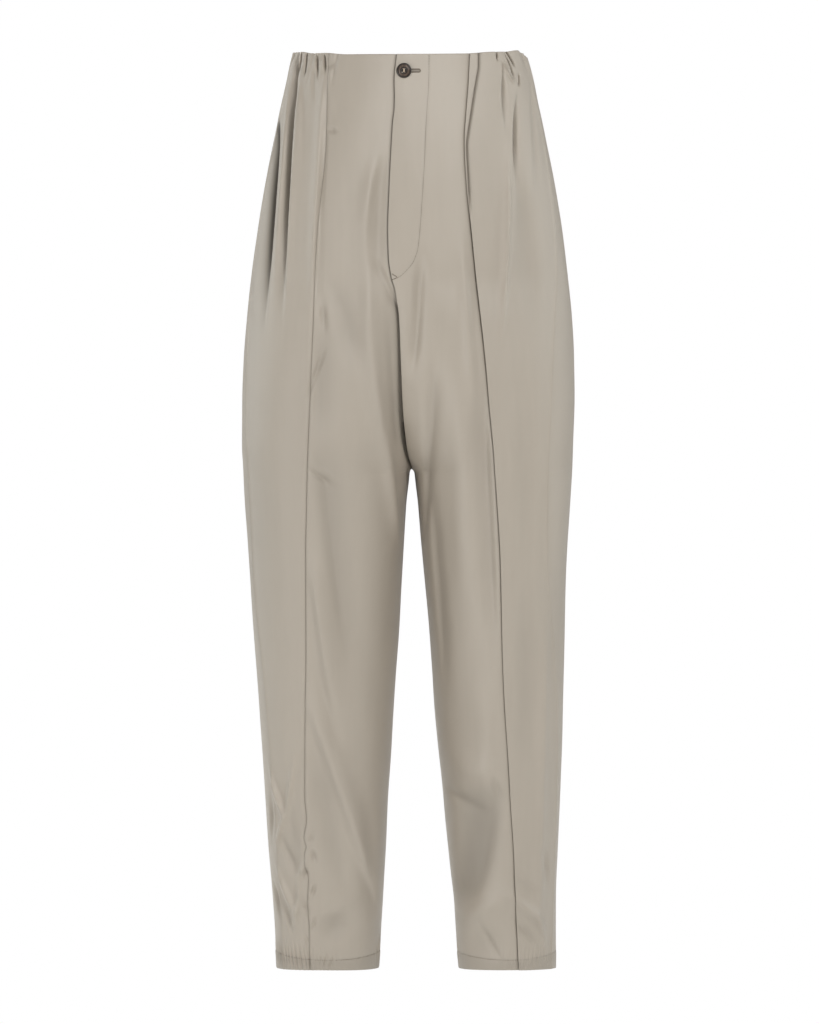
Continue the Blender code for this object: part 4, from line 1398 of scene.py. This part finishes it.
def cloth_finish(settings):
    """A fine close twill: warm stone grey, matt, with a slight sheen, and painted shade in its seams, pleats
    and hollows.
    """
    finish = Finish("stone_twill")
    across, down, shade = finish.attribute("lay")
    place = finish.place()
    colour = tuple(settings.cloth_colour) + (1.0,)
    cloudy = finish.noise(0.11, 3.0, place, (1.0, 1.0, 2.2))
    streaky = finish.noise(0.006, 2.0, place, (1.0, 1.0, 14.0))
    mottle = (cloudy - 0.5) * 0.9 + (streaky - 0.5) * 0.5 + 0.5
    base = finish.mix(mottle.clamped(), tint(colour, 0.95), tint(colour, 1.05))
    # Painted shade: the lay attribute's shade darkens the colour towards this warm dark tint.
    base = finish.mix(shade * 0.85, base, tint((0.45, 0.385, 0.3), 0.16))
    turn = 2.0 * math.pi / settings.twill_pitch
    wander = finish.noise(0.004, 1.0, place)
    rib = (across * (turn * 0.82) + down * (turn * 0.57) + wander * 0.9).sine()
    thread = (across * (turn * 1.9)).sine() * (down * (turn * 1.9)).sine()
    weave = rib * 0.5 + thread * 0.3
    base = finish.mix((weave * 0.5 + 0.5).clamped() * 0.12, base, tint(colour, 0.72))
    bump = finish.node(
        "ShaderNodeBump", {}, {"Strength": 0.35, "Distance": 0.00012, "Height": weave + wander * 0.8}
    )
    # Roughness rises with the painted shade, so that its dark holds no highlight.
    rough = mottle * 0.08 + (settings.cloth_roughness - 0.04) + shade.clamped() * 0.4
    finish.feed(
        finish.shader.node,
        {
            "Base Color": base,
            "Roughness": rough,
            "Normal": bump.out("Normal"),
            "Sheen Weight": 0.12,
            "Sheen Roughness": 0.4,
            "Specular IOR Level": 0.7,
        },
    )
    return finish.material


def horn_finish(settings):
    """Dark brown polished horn with uneven lighter streaks, and painted shade everywhere but the ring between
    its rim and sunk middle.
    """
    finish = Finish("dark_horn")
    place = finish.place()
    streak = finish.noise(0.003, 4.0, place, (0.5, 1.0, 2.4))
    fleck = finish.noise(0.0009, 2.0, place)
    colour = tuple(settings.horn_colour) + (1.0,)
    mask = ((streak - 0.42) * 3.4).clamped()
    ring = finish.node("ShaderNodeAttribute", {"attribute_name": "ring"}).out("Fac")
    streaks = finish.mix(mask, tint(colour, 1.4), tint(colour, 4.2))
    streaks = finish.mix(((fleck - 0.55) * 2.0).clamped() * 0.3, streaks, tint(colour, 5.0))
    # Painted shade: off the ring, in the sunk middle, the grooves and over the rim, the horn is darkened to 0.3
    # of its colour.
    base = finish.mix(ring.clamped(), tint(colour, 0.3), streaks)
    bump = finish.node("ShaderNodeBump", {}, {"Strength": 0.2, "Distance": 0.00008, "Height": fleck})
    finish.feed(
        finish.shader.node,
        {
            "Base Color": base,
            "Roughness": streak * 0.15 + 0.28,
            "Normal": bump.out("Normal"),
            "Coat Roughness": 0.2,
            "Coat Weight": 0.25,
        },
    )
    return finish.material


def thread_finish(settings, name, factor):
    """Fine spun thread, its ply showing as a slight twist of light and dark."""
    finish = Finish(name)
    place = finish.place()
    ply = finish.noise(0.0005, 2.0, place)
    colour = tint(tuple(settings.thread_colour), factor)
    base = finish.mix(ply, tint(colour, 0.75), tint(colour, 1.25))
    bump = finish.node("ShaderNodeBump", {}, {"Strength": 0.4, "Distance": 0.00006, "Height": ply})
    finish.feed(
        finish.shader.node,
        {
            "Base Color": base,
            "Roughness": ply * 0.1 + 0.6,
            "Normal": bump.out("Normal"),
            "Sheen Weight": 0.2,
        },
    )
    return finish.material


class TROUSERS_PG_settings(bpy.types.PropertyGroup):
    """Sizes and colours of the trousers that can be changed."""

    cloth_colour: bpy.props.FloatVectorProperty(
        name="Cloth",
        description="Colour of the twill",
        default=(0.45, 0.40, 0.335),
        subtype="COLOR",
        min=0.0,
        max=1.0,
    )
    cloth_roughness: bpy.props.FloatProperty(
        name="Cloth roughness", description="How matt the twill is", default=0.4, min=0.1, max=1.0
    )
    cloth_thickness: bpy.props.FloatProperty(
        name="Cloth thickness",
        description="Thickness of one layer of cloth",
        default=0.0009,
        unit="LENGTH",
        subtype="DISTANCE",
    )
    twill_pitch: bpy.props.FloatProperty(
        name="Twill pitch",
        description="Distance from one line of the twill to the next",
        default=0.0007,
        unit="LENGTH",
        subtype="DISTANCE",
    )
    thread_colour: bpy.props.FloatVectorProperty(
        name="Thread",
        description="Colour of the sewing thread",
        default=(0.15, 0.118, 0.088),
        subtype="COLOR",
        min=0.0,
        max=1.0,
    )
    thread_radius: bpy.props.FloatProperty(
        name="Thread radius",
        description="Half the sewing thread's thickness",
        default=0.00026,
        unit="LENGTH",
        subtype="DISTANCE",
    )
    stitch_length: bpy.props.FloatProperty(
        name="Stitch length",
        description="Length of one stitch of the topstitching",
        default=0.0024,
        unit="LENGTH",
        subtype="DISTANCE",
    )
    horn_colour: bpy.props.FloatVectorProperty(
        name="Horn",
        description="Colour of the button",
        default=(0.05, 0.034, 0.025),
        subtype="COLOR",
        min=0.0,
        max=1.0,
    )
    floor_colour: bpy.props.FloatVectorProperty(
        name="Floor",
        description="Colour of the studio's floor",
        default=(0.92, 0.92, 0.91),
        subtype="COLOR",
        min=0.0,
        max=1.0,
    )


def shared(name, make):
    """A material made once and used by every piece that has it."""
    return bpy.data.materials.get(name) or make()


def dress(cloth, name, nodes, leg, settings):
    """Makes a Cloth into a piece that rides and replaces its nodes."""
    material = shared("stone_twill", lambda: cloth_finish(settings))
    made = add_cloth(name, cloth, leg == "left", material)
    width, length, area = cloth.flat_size()
    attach(made, "root")
    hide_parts(*nodes)
    min(area, width * length)
    return made


def attach_sewing(made):
    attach(made, "root")


class TROUSERS_OT_fronts(bpy.types.Operator):
    """Make the front centre and front side panels of both legs, with the lap over the fly"""

    bl_idname = "trousers.fronts"
    bl_label = "Front panels"

    def execute(self, context):
        settings = context.scene.trousers
        right = panel(settings, "right", "centre")
        dress(right, "front_centre_right_cloth", ["front_centre_right"], "right", settings)
        left = front_centre_left(settings)
        dress(left, "front_centre_left_cloth", ["front_centre_left", "fly"], "left", settings)
        for leg in LEGS:
            side = panel(settings, leg, "side")
            dress(side, f"front_side_{leg}_cloth", ["front_side_" + leg], leg, settings)
        return {"FINISHED"}


class TROUSERS_OT_backs(bpy.types.Operator):
    """Make the two backs, gathered at the waist"""

    bl_idname = "trousers.backs"
    bl_label = "Backs"

    def execute(self, context):
        settings = context.scene.trousers
        for leg in LEGS:
            back = panel(settings, leg, "back")
            dress(back, f"back_{leg}_cloth", ["back_" + leg], leg, settings)
        return {"FINISHED"}


class TROUSERS_OT_sewing(bpy.types.Operator):
    """Make the fly's rounded row and tack, the buttonhole and the hems' rows of stitches"""

    bl_idname = "trousers.sewing"
    bl_label = "Sewing"

    def execute(self, context):
        settings = context.scene.trousers
        material = shared("sewing_thread", lambda: thread_finish(settings, "sewing_thread", 1.0))
        attach_sewing(add_sewing("fly_stitching", fly_rows(settings), material))
        attach_sewing(add_sewing("buttonhole_stitching", buttonhole_rows(settings), material))
        for leg in LEGS:
            attach_sewing(add_sewing(f"hem_stitching_{leg}", hem_rows(settings, leg), material))
        return {"FINISHED"}


class TROUSERS_OT_button(bpy.types.Operator):
    """Make the four-hole horn button and the thread that holds it"""

    bl_idname = "trousers.button"
    bl_label = "Button"

    def execute(self, context):
        settings = context.scene.trousers
        middle, turn = button_frame()
        points, faces, light = button_form()
        material = shared("dark_horn", lambda: horn_finish(settings))
        placed = (points @ turn.T + middle) * MM
        button = add_object("horn_button", placed.tolist(), faces, material)
        button.data.attributes.new("ring", "FLOAT", "POINT").data.foreach_set("value", light)
        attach(button, "root")
        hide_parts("button")
        rows = [(row_points @ turn.T + middle, row_faces) for row_points, row_faces in button_thread(settings)]
        pale = shared("button_thread", lambda: thread_finish(settings, "button_thread", 4.2))
        attach_sewing(add_sewing("button_threads", rows, pale))
        return {"FINISHED"}


CAMERA_PLACE = (-0.00174, -5.0, -0.12)
CAMERA_DOWN = 4.677
CAMERA_LENS = 151.24
FLOOR_Z = -1.30
FLOOR_RADIUS = 30.0
# Soft panels of light: place, what each points at, size across, power in watts and colour.
LIGHTS = (
    ("key", (1.6, -4.3, 2.3), (0.0, 0.0, -0.45), 1.1, 116.0, (1.0, 0.985, 0.965)),
    ("fill", (-2.6, -4.0, -0.1), (0.0, 0.0, -0.65), 1.8, 50.0, (1.0, 0.985, 0.97)),
    ("right side", (3.4, 0.6, 0.4), (0.0, 0.0, -0.5), 2.0, 32.0, (0.98, 1.0, 0.98)),
    ("left side", (-3.4, 1.2, 0.2), (0.0, 0.0, -0.5), 2.0, 33.0, (0.97, 1.0, 0.98)),
    ("back", (-2.2, 3.4, 1.9), (0.0, 0.0, -0.5), 1.6, 78.0, (1.0, 1.0, 1.0)),
)
WORLD_LIGHT = 0.24
WORLD_COLOUR = (1.0, 1.0, 1.0, 1.0)


def floor_finish(settings):
    """Pale studio floor, faintly clouded, and lit evenly white to the camera like the surround."""
    finish = Finish("studio_floor")
    cloud = finish.noise(0.8, 2.0, finish.place())
    colour = tuple(settings.floor_colour) + (1.0,)
    base = finish.mix(cloud, tint(colour, 0.99), tint(colour, 1.01))
    finish.feed(finish.shader.node, {"Base Color": base, "Roughness": 0.9})
    white = finish.node("ShaderNodeEmission", {}, {"Color": (1.0, 1.0, 1.0, 1.0), "Strength": 1.0})
    seen = finish.node("ShaderNodeLightPath").out("Is Camera Ray")
    shown = finish.node(
        "ShaderNodeMixShader",
        {},
        {"Fac": seen, 1: finish.shader.out("BSDF"), 2: white.out("Emission")},
    )
    finish.feed(finish.nodes["Material Output"], {"Surface": shown.out("Shader")})
    return finish.material


class TROUSERS_OT_stage(bpy.types.Operator):
    """Make the studio: a pale floor, soft lights, a white surround and the camera"""

    bl_idname = "trousers.stage"
    bl_label = "Studio"

    def execute(self, context):
        scene = context.scene
        angle = np.arange(96) * 2.0 * math.pi / 96
        ring = np.stack([FLOOR_RADIUS * np.cos(angle), FLOOR_RADIUS * np.sin(angle), 0.0 * angle + FLOOR_Z], -1)
        floor = add_object(
            "studio_floor", ring.tolist(), [list(range(len(ring)))], floor_finish(scene.trousers)
        )
        for name, place, target, size, power, colour in LIGHTS:
            light = bpy.data.lights.new(name, "AREA")
            light.shape, light.size, light.energy, light.color = "DISK", size, power, colour
            lamp = bpy.data.objects.new(name, light)
            lamp.location = place
            lamp.rotation_euler = (Vector(target) - Vector(place)).to_track_quat("-Z", "Y").to_euler()
            lamp.visible_camera = False
            scene.collection.objects.link(lamp)
        self.surround(scene)
        lens = bpy.data.cameras.new("camera")
        lens.lens, lens.sensor_width, lens.sensor_fit = CAMERA_LENS, 36.0, "AUTO"
        camera = bpy.data.objects.new("camera", lens)
        camera.location = CAMERA_PLACE
        camera.rotation_euler = Euler((math.radians(90.0 - CAMERA_DOWN), 0.0, 0.0))
        scene.collection.objects.link(camera)
        scene.camera = camera
        scene.view_settings.view_transform = "Standard"
        return {"FINISHED"}

    def surround(self, scene):
        """White to the camera, softer as light."""
        world = bpy.data.worlds.new("studio")
        scene.world = world
        world.use_nodes = True
        nodes, links = world.node_tree.nodes, world.node_tree.links
        background = nodes["Background"]
        background.inputs["Color"].default_value = WORLD_COLOUR
        background.inputs["Strength"].default_value = WORLD_LIGHT
        white = nodes.new("ShaderNodeBackground")
        white.inputs["Color"].default_value = (1.0, 1.0, 1.0, 1.0)
        seen = nodes.new("ShaderNodeLightPath").outputs["Is Camera Ray"]
        shown = nodes.new("ShaderNodeMixShader")
        links.new(seen, shown.inputs[0])
        links.new(background.outputs[0], shown.inputs[1])
        links.new(white.outputs[0], shown.inputs[2])
        links.new(shown.outputs[0], nodes["World Output"].inputs["Surface"])


class TROUSERS_PT_panel(bpy.types.Panel):
    """The trousers' sizes, colours and pieces"""

    bl_label = "Trousers"
    bl_idname = "TROUSERS_PT_panel"
    bl_space_type = "VIEW_3D"
    bl_region_type = "UI"
    bl_category = "Trousers"

    def draw(self, context):
        settings = context.scene.trousers
        for name in settings.__annotations__:
            self.layout.prop(settings, name)
        for operator in OPERATORS:
            self.layout.operator(operator.bl_idname)


OPERATORS = (
    TROUSERS_OT_fronts,
    TROUSERS_OT_backs,
    TROUSERS_OT_sewing,
    TROUSERS_OT_button,
    TROUSERS_OT_stage,
)
CLASSES = (TROUSERS_PG_settings, *OPERATORS, TROUSERS_PT_panel)


def register():
    for made in CLASSES:
        bpy.utils.register_class(made)
    bpy.types.Scene.trousers = bpy.props.PointerProperty(type=TROUSERS_PG_settings)


def unregister():
    del bpy.types.Scene.trousers
    for made in reversed(CLASSES):
        bpy.utils.unregister_class(made)


def main():
    register()
    bpy.ops.trousers.fronts()
    bpy.ops.trousers.backs()
    bpy.ops.trousers.sewing()
    bpy.ops.trousers.button()
    bpy.ops.trousers.stage()


if __name__ == "__main__":
    main()
